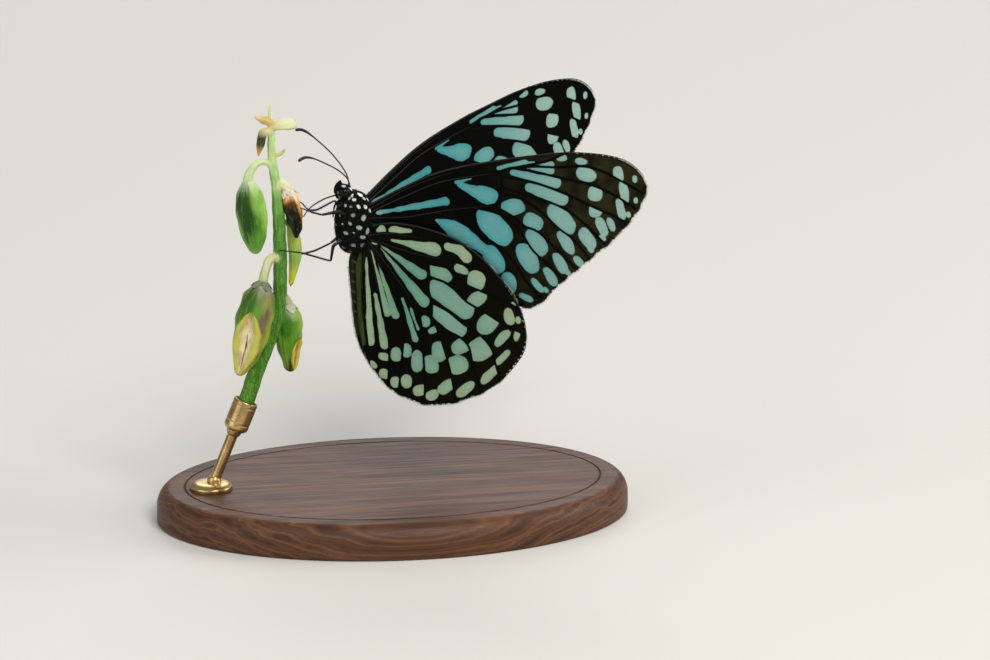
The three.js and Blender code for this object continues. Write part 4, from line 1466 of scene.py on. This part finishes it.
def buildLeg(name, points, knee, ankle, material):
    line = cornered(points, leg["rows"], leg["rounding"])
    gone = lengthsAlong(points)
    length, share = gone[-1], np.linspace(0, 1, len(line))
    kneeAt, ankleAt = gone[knee] / length, gone[ankle] / length
    width = legWidths(share, kneeAt, ankleAt) * roundEnds(share, length, 0.12)
    ahead, across, beside = framesAlong(line, (0.1, 0.2, 1))
    lines, widths = [line], [width]
    if not name.startswith("foreleg"):
        # a pair of bent claws at the tip
        reach = np.linspace(0, 1, 14)[:, None]
        for side in (-1, 1):
            bend = beside[-1] * side * 0.55 * reach ** 0.6 - across[-1] * 0.5 * reach ** 2.5
            lines.append(line[-1] + leg["claw"] * (ahead[-1] * reach * 0.8 + bend))
            widths.append(np.linspace(0.06, 0.012, 14))
    finishPiece(tubePiece(name + "_horn", lines, widths, 16, material), "leg", name)
    # short spines in rows along the shin and the foot
    kept = share > kneeAt + 0.02
    turns = [heading(angle) for angle in leg["spineRows"]]
    outward = [across[kept] * c + beside[kept] * s for c, s in turns]
    rows = [line[kept] + way * (width[kept] * 0.75)[:, None] for way in outward]
    carrier = lineObject(name + "Rows", rows)
    lie = np.tile(ahead[kept], (len(rows), 1))
    note(carrier, lie=lie, outward=np.vstack(outward), tuftLength=1, tuftBreadth=1)
    finishPiece(growTufts(name + "_spines", carrier, leg["spines"], material, sideOn), "leg")
    drop(carrier)


legHorn = plainHorn("legHorn", (9, 10, 8), (34, 34, 27), 0.45, 7000)
for name, (points, knee, ankle) in legs.items():
    buildLeg(name, points, knee, ankle, legHorn)
print("legs made")


# Plant: the stem with its shoots is one skin, and a pod hangs from each of five stalks

plant = {
    "stem": [
        (-22.4, 0, -34.4), (-20.87, 0, -30.6), (-19.25, 0, -25.8), (-17.7, 0, -21.8), (-16.1, 0, -18.2),
        (-15.25, 0, -13.3), (-15.1, 0, -4.6), (-15.35, 0, 1.56), (-15.74, 0, 6.84), (-16.42, 0, 11.27),
        (-16.5, 0, 15.66),
    ],
    "stemRadii": [1.35, 1.35, 1.35, 1.3, 1.2, 1.14, 1.12, 0.98, 0.82, 0.7, 0.6],
    "voxel": 0.13,
    "smoothing": 7,
    "ribs": 8,
    "ribHeight": 0.05,
    "knotHeight": 0.05,
    "creases": 5,
    "creaseDepth": 0.055,
    "hair": {
        "perSquareMm": 4, "length": 0.4, "breadth": 0.035, "rise": 0.35, "scatter": 0.28, "bend": 0.2,
        "seed": 21,
    },
}
# cream, dark and golden say how much of that colour a shoot has from its start to its end
shoots = {
    "tip": {
        "path": [(-16.5, 0, 15.2), (-16.65, 0, 18), (-16.6, 0, 20.9)],
        "radii": [0.6, 0.5, 0.26],
        "cream": (0.2, 0.5, 0.4),
    },
    "bud": {
        "path": [(-16.4, 0, 16.6), (-15.2, -0.4, 17.2), (-13.4, -0.6, 17.3), (-12.2, -0.6, 16.8)],
        "radii": [0.55, 0.9, 1.05, 0.45],
        "cream": (0.7, 0.85, 0.8),
        "dark": (0, 0, 0.1),
        "golden": (0.45, 0.1, 0, 0.25),
    },
    "smallBud": {
        "path": [(-16.5, 0, 17.4), (-17.9, -0.2, 18.2), (-19.4, -0.3, 18.9)],
        "radii": [0.55, 0.7, 0.28],
        "cream": (0.6, 0.6, 0.9),
        "dark": (0.1, 0.15, 0),
        "golden": (0.6, 0.7, 0.2),
    },
    "witheredBud": {
        "path": [(-16.6, 0, 15.9), (-17.9, -0.3, 16), (-18.5, -0.4, 13.8), (-18.8, -0.4, 11.9)],
        "radii": [0.55, 0.75, 0.68, 0.12],
        "cream": (0.9, 0.9, 0.2, 0, 0, 0.3),
        "dark": (0, 0.1, 0.95, 0.95, 0.3, 0),
        "golden": (0.2, 0.4, 0.3, 0.6, 0.9, 0.9),
    },
    "bract": {
        "path": [(-16.2, 0, 11.8), (-15.1, -0.3, 12.1), (-14.1, -0.5, 13.1)],
        "radii": [0.34, 0.28, 0.2],
        "cream": (0.3, 0.2, 0.1),
        "golden": (0.5, 0.4, 0.1),
    },
    "greenStalk": {
        "path": [
            (-16.3, 0, 9.4), (-17.3, -0.2, 10.7), (-18.9, -0.4, 10.8), (-20.1, -0.6, 9.6),
            (-20.6, -0.6, 8.2), (-20.55, -0.65, 7),
        ],
        "radii": [0.4, 0.46, 0.56, 0.7, 0.84, 0.85],
        "cream": (0.45, 0.42, 0.28),
        "golden": (0.1, 0, 0),
    },
    "brownStalk": {
        "path": [(-15.7, 0, 6.2), (-15, -0.2, 7), (-14.4, -0.3, 6.8), (-13.8, -0.38, 5.6)],
        "radii": [0.7, 0.75, 0.75, 0.7],
        "cream": (0.8, 0.95, 0.95),
        "golden": (0.3, 0.1, 0.1),
    },
    "splitStalk": {
        "path": [
            (-15.4, 0, -5.8), (-16.9, -0.9, -5.9), (-17.8, -1.4, -7.6), (-18.2, -1.7, -9),
            (-18.45, -1.9, -10.4),
        ],
        "radii": [0.7, 0.78, 0.72, 0.8, 0.8],
        "cream": (0.7, 0.78, 0.35),
        "golden": (0.2, 0.1, 0),
    },
    "lowerStalk": {
        "path": [(-15.3, 0, -12.6), (-14.5, 0.6, -13), (-13.7, 0.9, -13.9), (-13.5, 1, -15.2)],
        "radii": [0.75, 0.72, 0.72, 0.72],
        "cream": (0.35, 0.5, 0.6),
    },
}
plantPaint = {
    "stem": [
        (0.0, (56, 112, 8)), (0.3, (60, 116, 12)), (0.5, (66, 122, 26)), (0.64, (72, 128, 38)),
        (0.75, (108, 158, 74)), (0.85, (158, 196, 122)), (1.0, (190, 214, 148)),
    ],
    "paleFibre": (162, 200, 100),
    "darkFibre": (44, 84, 24),
    "woody": (116, 118, 46),
    "cream": (224, 224, 184),
    "golden": (206, 160, 58),
    "dark": (24, 18, 10),
    "hair": ((205, 208, 186), (236, 238, 222)),
    "podVein": (190, 206, 110),
    "podMottle": (84, 70, 36),
    "podFlush": (176, 128, 104),  # in the open splits
    "style": (150, 140, 70),
}
podGrid = (150, 120)  # rows and columns of points over a pod
# Paint stops run from the stalk to the tip. A patch is its angle round the pod (0 on the stem's back
# side, 90 on the left), its share of the length, its reach in pod radii, its colour and its strength.
# Most patches are the pod's own colour; those marked below are painted highlight on the side near 0,
# where light falls, and painted shade on the side turned from it.
# A cuff is how far it reaches and how long its teeth are, as shares of the pod. A split's reach is
# where it begins and ends, and its paint the colours of its rim, its inside and the seeds.
pods = {
    "perch_pod_green": {
        "path": [
            (-20.6, -0.6, 8.2), (-20.4, -0.7, 5.6), (-20, -0.8, 2), (-19.6, -0.8, -2),
            (-19.3, -0.8, -4.9),
        ],
        "radii": [0.9, 2.2, 2.6, 2.05, 0.85],
        "seam": 62,
        "seamDepth": 0.1,
        "paint": [
            (0.0, (196, 208, 172)), (0.12, (168, 190, 138)), (0.22, (104, 152, 66)),
            (0.34, (72, 128, 36)), (0.6, (70, 130, 32)), (0.88, (88, 146, 50)), (0.96, (120, 166, 78)),
            (1.0, (170, 196, 128)),
        ],
        "patches": [
            # the patch at 130 degrees is painted shade: the pod's side turned from the light, painted dark
            # green
            (130, 0.42, 1.05, (22, 60, 4), 0.95), (100, 0.2, 0.3, (44, 76, 30), 0.5),
            (66, 0.27, 0.6, (142, 184, 78), 0.6), (14, 0.5, 0.85, (164, 206, 100), 0.8),
            # the patch at 14 degrees is a painted highlight: a bright rim of light along the pod's lit side
            (176, 0.62, 0.6, (128, 180, 84), 0.7), (60, 0.86, 0.6, (100, 156, 56), 0.5),
        ],
    },
    "perch_pod_brown": {
        "path": [
            (-14.1, -0.35, 6.4), (-13.6, -0.4, 5.1), (-13.1, -0.5, 3), (-12.75, -0.5, 0.9),
            (-12.4, -0.5, -0.9), (-12.45, -0.5, -2.6),
        ],
        "radii": [0.65, 1.15, 1.45, 1.4, 0.95, 0.3],
        "seam": 100,
        "seamDepth": 0.14,
        "cuff": (0.09, 0.09),
        "dents": 0.16,
        "paint": [
            (0.0, (240, 230, 214)), (0.12, (232, 214, 192)), (0.2, (206, 158, 100)), (0.29, (96, 58, 22)),
            (0.4, (24, 17, 7)), (0.8, (8, 7, 4)), (1.0, (10, 9, 6)),
        ],
        "cuffPaint": (240, 226, 208),
        "patches": [
            # the patches at 40, 26 and 18 degrees are painted highlight, pale to gold, along the pod's lit
            # side
            (40, 0.2, 0.55, (238, 218, 180), 0.9), (26, 0.4, 0.62, (222, 164, 60), 0.95),
            (18, 0.62, 0.5, (168, 98, 26), 0.9), (150, 0.17, 0.45, (216, 142, 60), 0.8),
            (150, 0.5, 0.7, (34, 24, 9), 0.6),
        ],
    },
    "perch_pod_yellow": {
        "path": [(-13.4, 1.3, 0.6), (-12.6, 1.6, -2.6), (-12.3, 1.5, -6), (-13.1, 1.2, -11.2)],
        "radii": [0.5, 1.05, 1.1, 0.4],
        "seam": 90,
        "seamDepth": 0.1,
        "cuff": (0.05, 0.05),
        "style": 0.3,
        "paint": [
            (0.0, (206, 210, 104)), (0.3, (190, 206, 96)), (0.65, (170, 196, 94)), (0.85, (212, 216, 58)),
            (1.0, (200, 184, 50)),
        ],
        "cuffPaint": (170, 180, 100),
        "patches": [
            # the patch at 30 degrees is a painted highlight on the pod's lit side
            (30, 0.25, 0.9, (214, 206, 92), 0.7), (110, 0.55, 1.2, (132, 172, 76), 0.6),
            (95, 0.93, 0.5, (226, 224, 34), 0.8), (60, 0.99, 0.2, (90, 62, 20), 0.8),
        ],
    },
    "perch_pod_split": {
        "path": [
            (-18.2, -1.8, -9.2), (-18.9, -2.1, -12), (-20, -2.3, -16.5), (-21.3, -2.3, -21.5),
            (-22.6, -2.3, -25.6),
        ],
        "radii": [0.9, 2.6, 3.05, 2.4, 0.8],
        "seam": 20,
        "seamDepth": 0.12,
        "cuff": (0.04, 0.05),
        "dents": 0.14,
        "paint": [
            (0.0, (190, 198, 150)), (0.08, (136, 140, 122)), (0.17, (104, 122, 66)), (0.3, (88, 136, 36)),
            (0.55, (96, 142, 34)), (0.8, (136, 160, 50)), (1.0, (196, 180, 90)),
        ],
        "cuffPaint": (134, 140, 108),
        "patches": [
            # the patch at 140 degrees is painted shade: dark green on the side turned from the light
            (140, 0.24, 0.6, (36, 82, 10), 0.85), (60, 0.3, 0.55, (168, 150, 78), 0.6),
            (64, 0.43, 0.55, (106, 88, 74), 0.95), (60, 0.58, 0.5, (104, 86, 72), 0.9),
            # the patch at 28 degrees is a painted highlight, yellow-green, on the pod's lit side
            (28, 0.5, 0.6, (170, 182, 62), 0.8), (165, 0.5, 0.8, (84, 120, 28), 0.6),
            (62, 0.72, 0.26, (36, 30, 26), 0.85), (120, 0.98, 0.3, (96, 60, 30), 0.7),
        ],
        "split": {
            "reach": (0.32, 0.99),
            "angle": 116,
            "halfAngle": 50,
            "depth": 1.5,
            "paint": ((186, 184, 84), (226, 214, 176), (84, 50, 36)),
        },
    },
    "perch_pod_lower": {
        "path": [(-13.6, 1, -14.2), (-13.5, 1.3, -17), (-13.5, 1.4, -21), (-13.1, 1.3, -26.4)],
        "radii": [0.9, 2.3, 2.2, 0.95],
        "seam": 130,
        "seamDepth": 0.1,
        "cuff": (0.05, 0.06),
        "dents": 0.12,
        "paint": [
            (0.0, (214, 218, 200)), (0.1, (150, 172, 110)), (0.25, (84, 138, 28)), (0.65, (82, 134, 20)),
            (0.88, (110, 128, 26)), (1.0, (84, 70, 28)),
        ],
        "cuffPaint": (206, 210, 186),
        "patches": [
            # the patch at 15 degrees is a painted highlight along the pod's lit edge
            (110, 0.28, 0.6, (44, 104, 10), 0.8), (15, 0.25, 0.8, (168, 192, 84), 0.7),
            (100, 0.9, 0.36, (36, 30, 10), 0.9), (10, 0.96, 0.3, (30, 22, 12), 0.9),
            (140, 0.7, 0.7, (120, 160, 50), 0.5),
        ],
        "split": {
            "reach": (0.5, 1.0),
            "angle": 40,
            "halfAngle": 36,
            "depth": 0.8,
            "paint": ((198, 182, 66), (146, 122, 66), (62, 38, 24)),
        },
    },
}


def evenly(path, values, share):
    # values given at a path's points, made smooth along its length
    gone = lengthsAlong(path)
    return throughPoints(values, np.interp(share, gone / gone[-1], np.linspace(0, 1, len(gone))))[:, 0]


def stemSkin():
    parts = [limbShell(plant["stem"], plant["stemRadii"], 40, 200)]
    parts += [limbShell(shoot["path"], shoot["radii"], 28, 60) for shoot in shoots.values()]
    made = remeshed("stem_skin", parts, plant["voxel"], plant["smoothing"])
    points = pointsOf(made)
    # ribs and slight knots along the stem
    spine = roundedPath(plant["stem"], 400)
    gap, upward = nearest(points, spine)
    onStem = stepped(gap, 1.7, 1.35)
    outward = unit(points - spine[upward])
    turn = np.arctan2(outward[:, 1], outward[:, 0])
    points += outward * (onStem * plant["ribHeight"] * np.cos(plant["ribs"] * turn))[:, None]
    knot = np.sin(points[:, 2] * 1.7 + 2 * np.sin(turn)) * np.sin(points[:, 2] * 0.63 + turn)
    points += outward * (onStem * plant["knotHeight"] * knot)[:, None]
    # each shoot's creases and what its paint adds
    shares = {key: np.zeros(len(points)) for key in ("cream", "golden", "dark")}
    before = points.copy()
    for shoot in shoots.values():
        line = roundedPath(shoot["path"], 80)
        _, across, beside = framesAlong(line, (0, 1, 0.2))
        away, place = nearest(before, line)
        share = place / 79
        place = (share * 79).astype(int)
        width = np.interp(share, np.linspace(0, 1, len(shoot["radii"])), shoot["radii"])
        near = stepped(away - width, 0.45, 0.02) * stepped(gap - away, -0.3, 0.4)
        radial = unit(before - line[place])
        turn = np.arctan2((radial * beside[place]).sum(1), (radial * across[place]).sum(1))
        crease = np.cos(plant["creases"] * turn + 3 * share) * np.sin(math.pi * share) * near
        points += radial * (plant["creaseDepth"] * crease)[:, None]
        for key in shares:
            values = shoot.get(key, (0, 0))
            most = near * np.interp(share, np.linspace(0, 1, len(values)), values)
            shares[key] = np.maximum(shares[key], most)
    movePoints(made, points)
    lie = unit(np.repeat([[0.1, 0, 1.0]], len(points), 0))
    note(made, upStem=upward / 399, lie=lie, tuftShare=1, tuftLength=1, tuftBreadth=1, **shares)
    return made


def stemMaterial():
    sheer = {"Subsurface Weight": 0.06, "Subsurface Radius": (0.001, 0.0015, 0.0004)}
    paint = Paint("stemBark", 0.52, 0.22, sheer)
    place = paint.place()
    fibres, patches = place.stretched((1, 1, 0.12)).noise(4200, 4), place.noise(330, 3)
    colour = (paint.noted("upStem") + patches.wavering(0.3)).steps(plantPaint["stem"])
    colour = colour.under(plantPaint["paleFibre"], fibres.spread(0.45, 0.7) * 0.3)
    colour = colour.under(plantPaint["darkFibre"], fibres.spread(0.5, 0.25) * 0.4)
    colour = colour.under(plantPaint["woody"], patches.spread(0.62, 0.75) * 0.35)
    for key in ("cream", "golden", "dark"):
        colour = colour.under(plantPaint[key], paint.noted(key) * patches.spread(0.15, 0.45, 0.75, 1.0))
    return paint.cover(colour, fibres + patches * 0.6, 0.45, 0.00012)


def leafMaterial(name, colour):
    paint = Paint(name.replace("perch_", "") + "Leaf", 0.65, 0.2)
    fibres = paint.place().stretched((1, 1, 0.2)).noise(3800, 4, 0.6)
    darker = [c * 0.78 for c in colour]
    return paint.cover(fibres.spread(0.7, 0.3).between(colour, darker), fibres, 0.6, 0.00015)


def hairMaterial():
    paint = Paint("stemHairs", 0.6, 0.2)
    return paint.cover(paint.place().noise(4000, 2).between(*plantPaint["hair"]))


def aroundStem(obj):
    return unrolled(obj, lambda height: -16, -35, 57)


def splitGap(split, along, around):
    # how far outside the split each place lies: -1 in its middle, 0 at its edge
    begin, end = split["reach"]
    part = np.clip((along - begin) / (end - begin), 0, 1)
    bow = np.sin(math.pi * np.clip(part * 0.96 + 0.01, 0, 1) ** 1.25)
    half = math.radians(split["halfAngle"]) * np.maximum(bow, 0.02) ** 0.55
    wander = 0.05 * np.sin(19 * along) + 0.03 * np.sin(43 * along + 1)
    outside = 1 - stepped(along, begin - 0.03, begin) * stepped(along, end, end - 0.015)
    return np.abs(turnFrom(around, split["angle"])) / half - 1 + wander + 3 * outside


def podRings(spec):
    # a pod's rings of points; its places on the pod flattened, and its gaps to the split, for paint
    rows, columns = podGrid
    line = roundedPath(spec["path"], rows)
    share, turn = np.linspace(0, 1, rows), fullTurn(columns)
    length = lengthsAlong(spec["path"])[-1]
    ends = np.interp(share, [0, 1], [spec["radii"][0], spec["radii"][-1]])
    width = (evenly(spec["path"], spec["radii"], share) * roundEnds(share, length, ends))[:, None]
    # a furrow along the seam, a keel opposite, and dents
    away, opposite = turnFrom(turn, spec["seam"]), turnFrom(turn, spec["seam"] + 180)
    seam = 0.8 * hump(np.abs(away) - 0.17, 0.09) - hump(away, 0.07) + 0.7 * hump(opposite, 0.06)
    along, around = np.meshgrid(share, turn, indexing="ij")
    fade = stepped(along, 0.05, 0.2) * stepped(along, 1, 0.9)
    dents = (np.sin(2 * around + 9 * along) * np.sin(17 * along + 1.3 * around)
             + 0.5 * np.sin(5 * around - 21 * along))
    reach = width * (1 + 0.35 * spec.get("dents", 0.05) * dents * fade) + spec["seamDepth"] * seam * fade
    gap = np.full(reach.shape, 2.0)
    if "split" in spec:
        # the pod's wall turned in, with a row of seeds in the middle and a raised rim
        split = spec["split"]
        gap = splitGap(split, along, around)
        inside = stepped(gap, -0.1, -0.85)
        row = hump(turnFrom(around, split["angle"]), 0.16) * inside
        reach = reach - np.minimum(split["depth"], width * 0.6) * inside
        reach = reach + 0.22 * np.maximum(np.sin(26 * along), 0) * row
        reach = reach + 0.16 * hump(gap - 0.06, 0.12) * fade
    _, across, beside = framesAlong(line, (1, 0, 0))
    ring = ovalRings(0 * line, across, beside, 1, 1, columns)
    ratio = length / max(spec["radii"])
    flat = np.stack([np.cos(around), np.sin(around), along * ratio], -1).reshape(-1, 3)
    flat = np.vstack([flat, [[0, 0, 0], [0, 0, ratio]]])
    return line[:, None] + ring * reach[..., None], flat, np.append(gap, [2, 2]), ratio


def podMaterial(name, spec, ratio):
    sheer = {"Subsurface Weight": 0.05, "Subsurface Radius": (0.001, 0.0014, 0.0004)}
    paint = Paint(name.replace("perch_", "") + "Skin", 0.5, 0.22, sheer)
    flat = paint.noted("podPlace", "Vector")
    veins = flat.stretched((3.2, 3.2, 0.8)).noise(1.6, 4, 0.62)
    mottle = paint.place().noise(900, 4, 0.6)
    colour = (flat.upward() / ratio + mottle.wavering(0.16)).steps(spec["paint"])
    # the patches: the pod's own colours, with painted highlight on its lit side and painted shade on its far
    # side where the pod's table marks them
    for angle, share, reach, patch, strength in spec["patches"]:
        away = (flat - (*heading(angle), share * ratio)) * (1, 1, 0.48)
        gap = away.length() + veins.wavering(0.7)
        colour = colour.under(patch, gap.spread(reach * 1.15, reach * 0.45, 0.0, strength))
    colour = colour.under(plantPaint["podVein"], veins.spread(0.52, 0.7) * 0.16)
    colour = colour.under(plantPaint["podMottle"], mottle.spread(0.62, 0.78) * 0.4)
    if "split" in spec:
        rim, inside, seeds = spec["split"]["paint"]
        gap = paint.noted("splitGap") + mottle.wavering(0.3)
        flush = gap.spread(-0.1, -0.5) * veins.spread(0.46, 0.62, 0.0, 0.6)
        colour = colour.under(rim, gap.spread(0.5, 0.1)).under(inside, gap.spread(-0.3, -0.62))
        colour = colour.under(plantPaint["podFlush"], flush)
        colour = colour.under(seeds, gap.spread(-0.8, -0.95) * veins.spread(0.4, 0.55))
    return paint.cover(colour, veins + mottle * 0.5, 0.5, 0.00022)


def cuffRings(spec):
    # a toothed cup of dry leaf round the top of the pod
    reach, lobe = spec["cuff"]
    turn = fullTurn(120)
    part = np.linspace(0.012, 1, 26)[:, None]
    share = part * (reach + lobe * np.abs(np.cos(2.5 * turn)) ** 1.6)
    line = roundedPath(spec["path"], 400)
    _, across, beside = framesAlong(line, (1, 0, 0))
    index = np.clip((share * 399).astype(int), 0, 398)
    rest = (share * 399 - index)[..., None]
    centre = line[index] * (1 - rest) + line[index + 1] * rest
    length = lengthsAlong(spec["path"])[-1]
    width = evenly(spec["path"], spec["radii"], share.ravel()).reshape(share.shape)
    width = width * roundEnds(share, length, spec["radii"][0]) + 0.05 * np.cos(10 * turn) * part
    outward = across[index] * np.cos(turn)[:, None] + beside[index] * np.sin(turn)[:, None]
    outer, inner = (centre + outward * (width + thick + flare * part ** 3)[..., None]
                    for thick, flare in ((0.13, 0.16), (0.02, 0.15)))
    return np.concatenate([outer, inner[::-1]])


def buildCuff(name, spec, slotName):
    rings = cuffRings(spec)
    rows, columns = rings.shape[:2]
    # the last ring joins up with the first
    faces = gridFaces(rows + 1, columns, around=True) % (rows * columns)
    cuff = closedShell(name + "_calyx", rings.reshape(-1, 3), faces.tolist())
    moveToFrame(cuff, leafMaterial(name, spec["cuffPaint"]))
    finishPiece(cuff, slotName)


def buildStyle(name, spec, slotName):
    # the flower's dried style, bent, at the pod's tip
    tip = roundedPath(spec["path"], 60)
    ahead = unit(tip[-1] - tip[-4])
    reach = np.linspace(-0.2, 1, 30)[:, None]
    hook = tip[-1] + spec["style"] * (ahead * reach + np.maximum(reach, 0) ** 2 * (0.5, 0.1, 0.1))
    leaf = leafMaterial(name, plantPaint["style"])
    finishPiece(tubePiece(name + "_style", [hook], [np.linspace(0.2, 0.05, 30)], 12, leaf), slotName)


def buildPod(name, spec, slotName):
    rings, flat, gap, ratio = podRings(spec)
    shell = closedLoft(name + "_shell", rings)
    note(shell, podPlace=flat, splitGap=gap)
    moveToFrame(shell, podMaterial(name, spec, ratio))
    finishPiece(shell, slotName, name)
    if "cuff" in spec:
        buildCuff(name, spec, slotName)
    if "style" in spec:
        buildStyle(name, spec, slotName)


stem = stemSkin()
moveToFrame(stem, stemMaterial())
finishPiece(stem, "stem_green", "perch_stem")
finishPiece(growTufts("stem_hair", stem, plant["hair"], hairMaterial(), aroundStem), "stem_green")
for name, spec in pods.items():
    buildPod(name, spec, "pod_dry" if name == "perch_pod_brown" else "pod_green")
print("stem and pods made")


# Stand

stand = {
    # how far each level of the base lies in from its edge, and its height
    "basePath": [
        (0.7, 0), (0.2, 0.18), (0, 0.65), (0, 3.1), (0.1, 3.8), (0.4, 4.6), (0.95, 5.35), (1.7, 5.85),
        (2.5, 6), (4.4, 6), (4.55, 5.9), (4.7, 5.8), (4.85, 5.9), (5, 6), (8, 6), (14, 6), (20, 6), (24, 6),
    ],
    "baseColumns": 220,
    # distance along the rod's axis and radius, round the whole outline
    "cup": [
        (0, 0.5), (0.02, 1.3), (0.2, 1.75), (0.55, 2.05), (0.8, 2.1), (1.35, 2.1), (1.5, 2), (1.65, 2.1),
        (4.5, 2.1), (4.62, 2.02), (4.75, 2.1), (5.25, 2.1), (5.42, 2.05), (5.5, 1.93), (5.46, 1.8),
        (5.3, 1.7), (1.7, 1.66), (1.5, 1.5), (1.5, 0.5),
    ],
    "foot": [
        (-0.2, 3.3), (-0.2, 3.56), (0, 3.6), (0.4, 3.6), (0.62, 3.5), (0.7, 3.36), (0.9, 3.1), (1.12, 2.6),
        (1.2, 2), (1.2, 1.2), (1.2, 0.3),
    ],
    # distance from the rod's lower and upper end, and radius as a share of the rod's
    "rodFoot": [(-0.3, 1), (0.9, 1), (0.95, 1.3), (1.5, 1.38), (2, 1.25), (2.1, 1)],
    "rodTop": [(-0.9, 1), (-0.75, 1.25), (-0.3, 1.4), (0.1, 1.5)],
    "rodRadius": 0.9,
    "cupFloor": 1.5,
    "footHeight": 0.2,
    "edgeRounding": 0.12,
    "brass": ((200, 170, 116), (150, 118, 74)),
}


def smoothOutline(points):
    # rounds an outline a little by adding points between
    return throughPoints(points, np.linspace(0, 1, (len(points) - 1) * 3 + 1))


def buildBase():
    low, high = (np.array(corner) * 1000 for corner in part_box("stand_base"))
    inset, height = smoothOutline(stand["basePath"]).T
    middle, half = (low + high) / 2, (high - low) / 2
    centres = np.stack([middle[0] + 0 * height, middle[1] + 0 * height, low[2] + height], 1)
    widths, depths = half[0] - inset, half[1] - inset
    rings = ovalRings(centres, (1, 0, 0), (0, 1, 0), widths, depths, stand["baseColumns"])
    base = closedLoft("base_board", rings / 1000, woodMaterial())
    finishPiece(base, "stand_wood", "stand_base")


def turnedPart(name, start, axis, outline):
    # an outline turned round an axis
    side = unit(np.cross(axis, (0, 1, 0)))
    height, radius = np.asarray(outline, float).T
    centres = start + axis * height[:, None]
    return closedLoft(name, ovalRings(centres, side, np.cross(axis, side), radius, radius, 72))


def buildFittings():
    stemEnd, stemNext = (np.array(p, float) for p in plant["stem"][:2])
    up = unit(stemNext - stemEnd)
    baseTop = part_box("stand_base")[1][2] * 1000 - hingeMiddle[2]
    cupBottom = stemEnd - up * stand["cupFloor"]
    footAt = stemEnd + up * (baseTop + stand["footHeight"] - stemEnd[2]) / up[2]
    length = np.linalg.norm(cupBottom - footAt)
    rodTop = [(length + past, share) for past, share in stand["rodTop"]]
    rod = [*stand["rodFoot"], (length / 2, 1), *rodTop] * np.array((1, stand["rodRadius"]))
    rounding = stand["edgeRounding"]
    made = joined("stand_fittings", [
        turnedPart("rod", footAt, up, cornered(rod, 110, rounding)),
        turnedPart("cup", cupBottom, up, cornered(stand["cup"], 150, rounding)),
        turnedPart("foot", footAt, np.array((0, 0, 1)), smoothOutline(stand["foot"])),
    ])
    made.data.shade_smooth()
    moveToFrame(made, brassMaterial())
    finishPiece(made, "stand_brass", "stand_rod")


wood = {
    "heart": (0, 0.008, 0.028),  # where the year rings' middle is, in metres
    "ringScale": 150,
    "wander": 7,
    "rings": [
        (0.3, (60, 36, 21)), (0.45, (90, 55, 34)), (0.56, (76, 45, 27)), (0.68, (108, 69, 42)),
        (0.85, (64, 37, 22)),
    ],
    "fine": (44, 25, 14),
    "pores": (28, 16, 9),
}


def woodMaterial():
    paint = Paint("oiledWood", 0.5, 0.3)
    place = paint.place()
    # year rings round a heart below the board, which wander along the grain
    rings = paint.add("ShaderNodeTexWave", {
        "Vector": place.stretched((0.05, 1, 1), wood["heart"]), "Scale": wood["ringScale"],
        "Distortion": wood["wander"], "Detail": 3, "Detail Scale": 0.5, "Detail Roughness": 0.6,
    }, "Fac", wave_type="RINGS", rings_direction="X")
    bands = place.stretched((0.06, 1, 1)).noise(300, 3)
    fine = place.stretched((0.03, 1, 1)).noise(3600, 3, 0.6)
    pores = place.stretched((0.12, 1, 1)).cells(2600)
    colour = (rings * 0.45 + bands * 0.7).steps(wood["rings"])
    colour = colour.under(wood["fine"], fine.spread(0.4, 0.7) * 0.3)
    colour = colour.under(wood["pores"], pores.spread(0.16, 0.06, 0.0, 0.55))
    paint.feed(paint.shader["Roughness"], fine.spread(0.3, 0.7, 0.42, 0.58))
    return paint.cover(colour, fine * 0.5 + pores.spread(0.05, 0.2), 0.3, 0.00008)


def brassMaterial():
    paint = Paint("brushedBrass", 0.3, 0.5, {"Metallic": 1.0})
    place = paint.place()
    brushed = place.stretched((0.2, 0.2, 3)).noise(3200, 3)
    paint.feed(paint.shader["Roughness"], brushed.spread(0.3, 0.7, 0.22, 0.38))
    colour = place.noise(240, 4).spread(0.4, 0.75).between(*stand["brass"])
    return paint.cover(colour, brushed, 0.12, 0.00003)


buildBase()
buildFittings()
print("stand made")
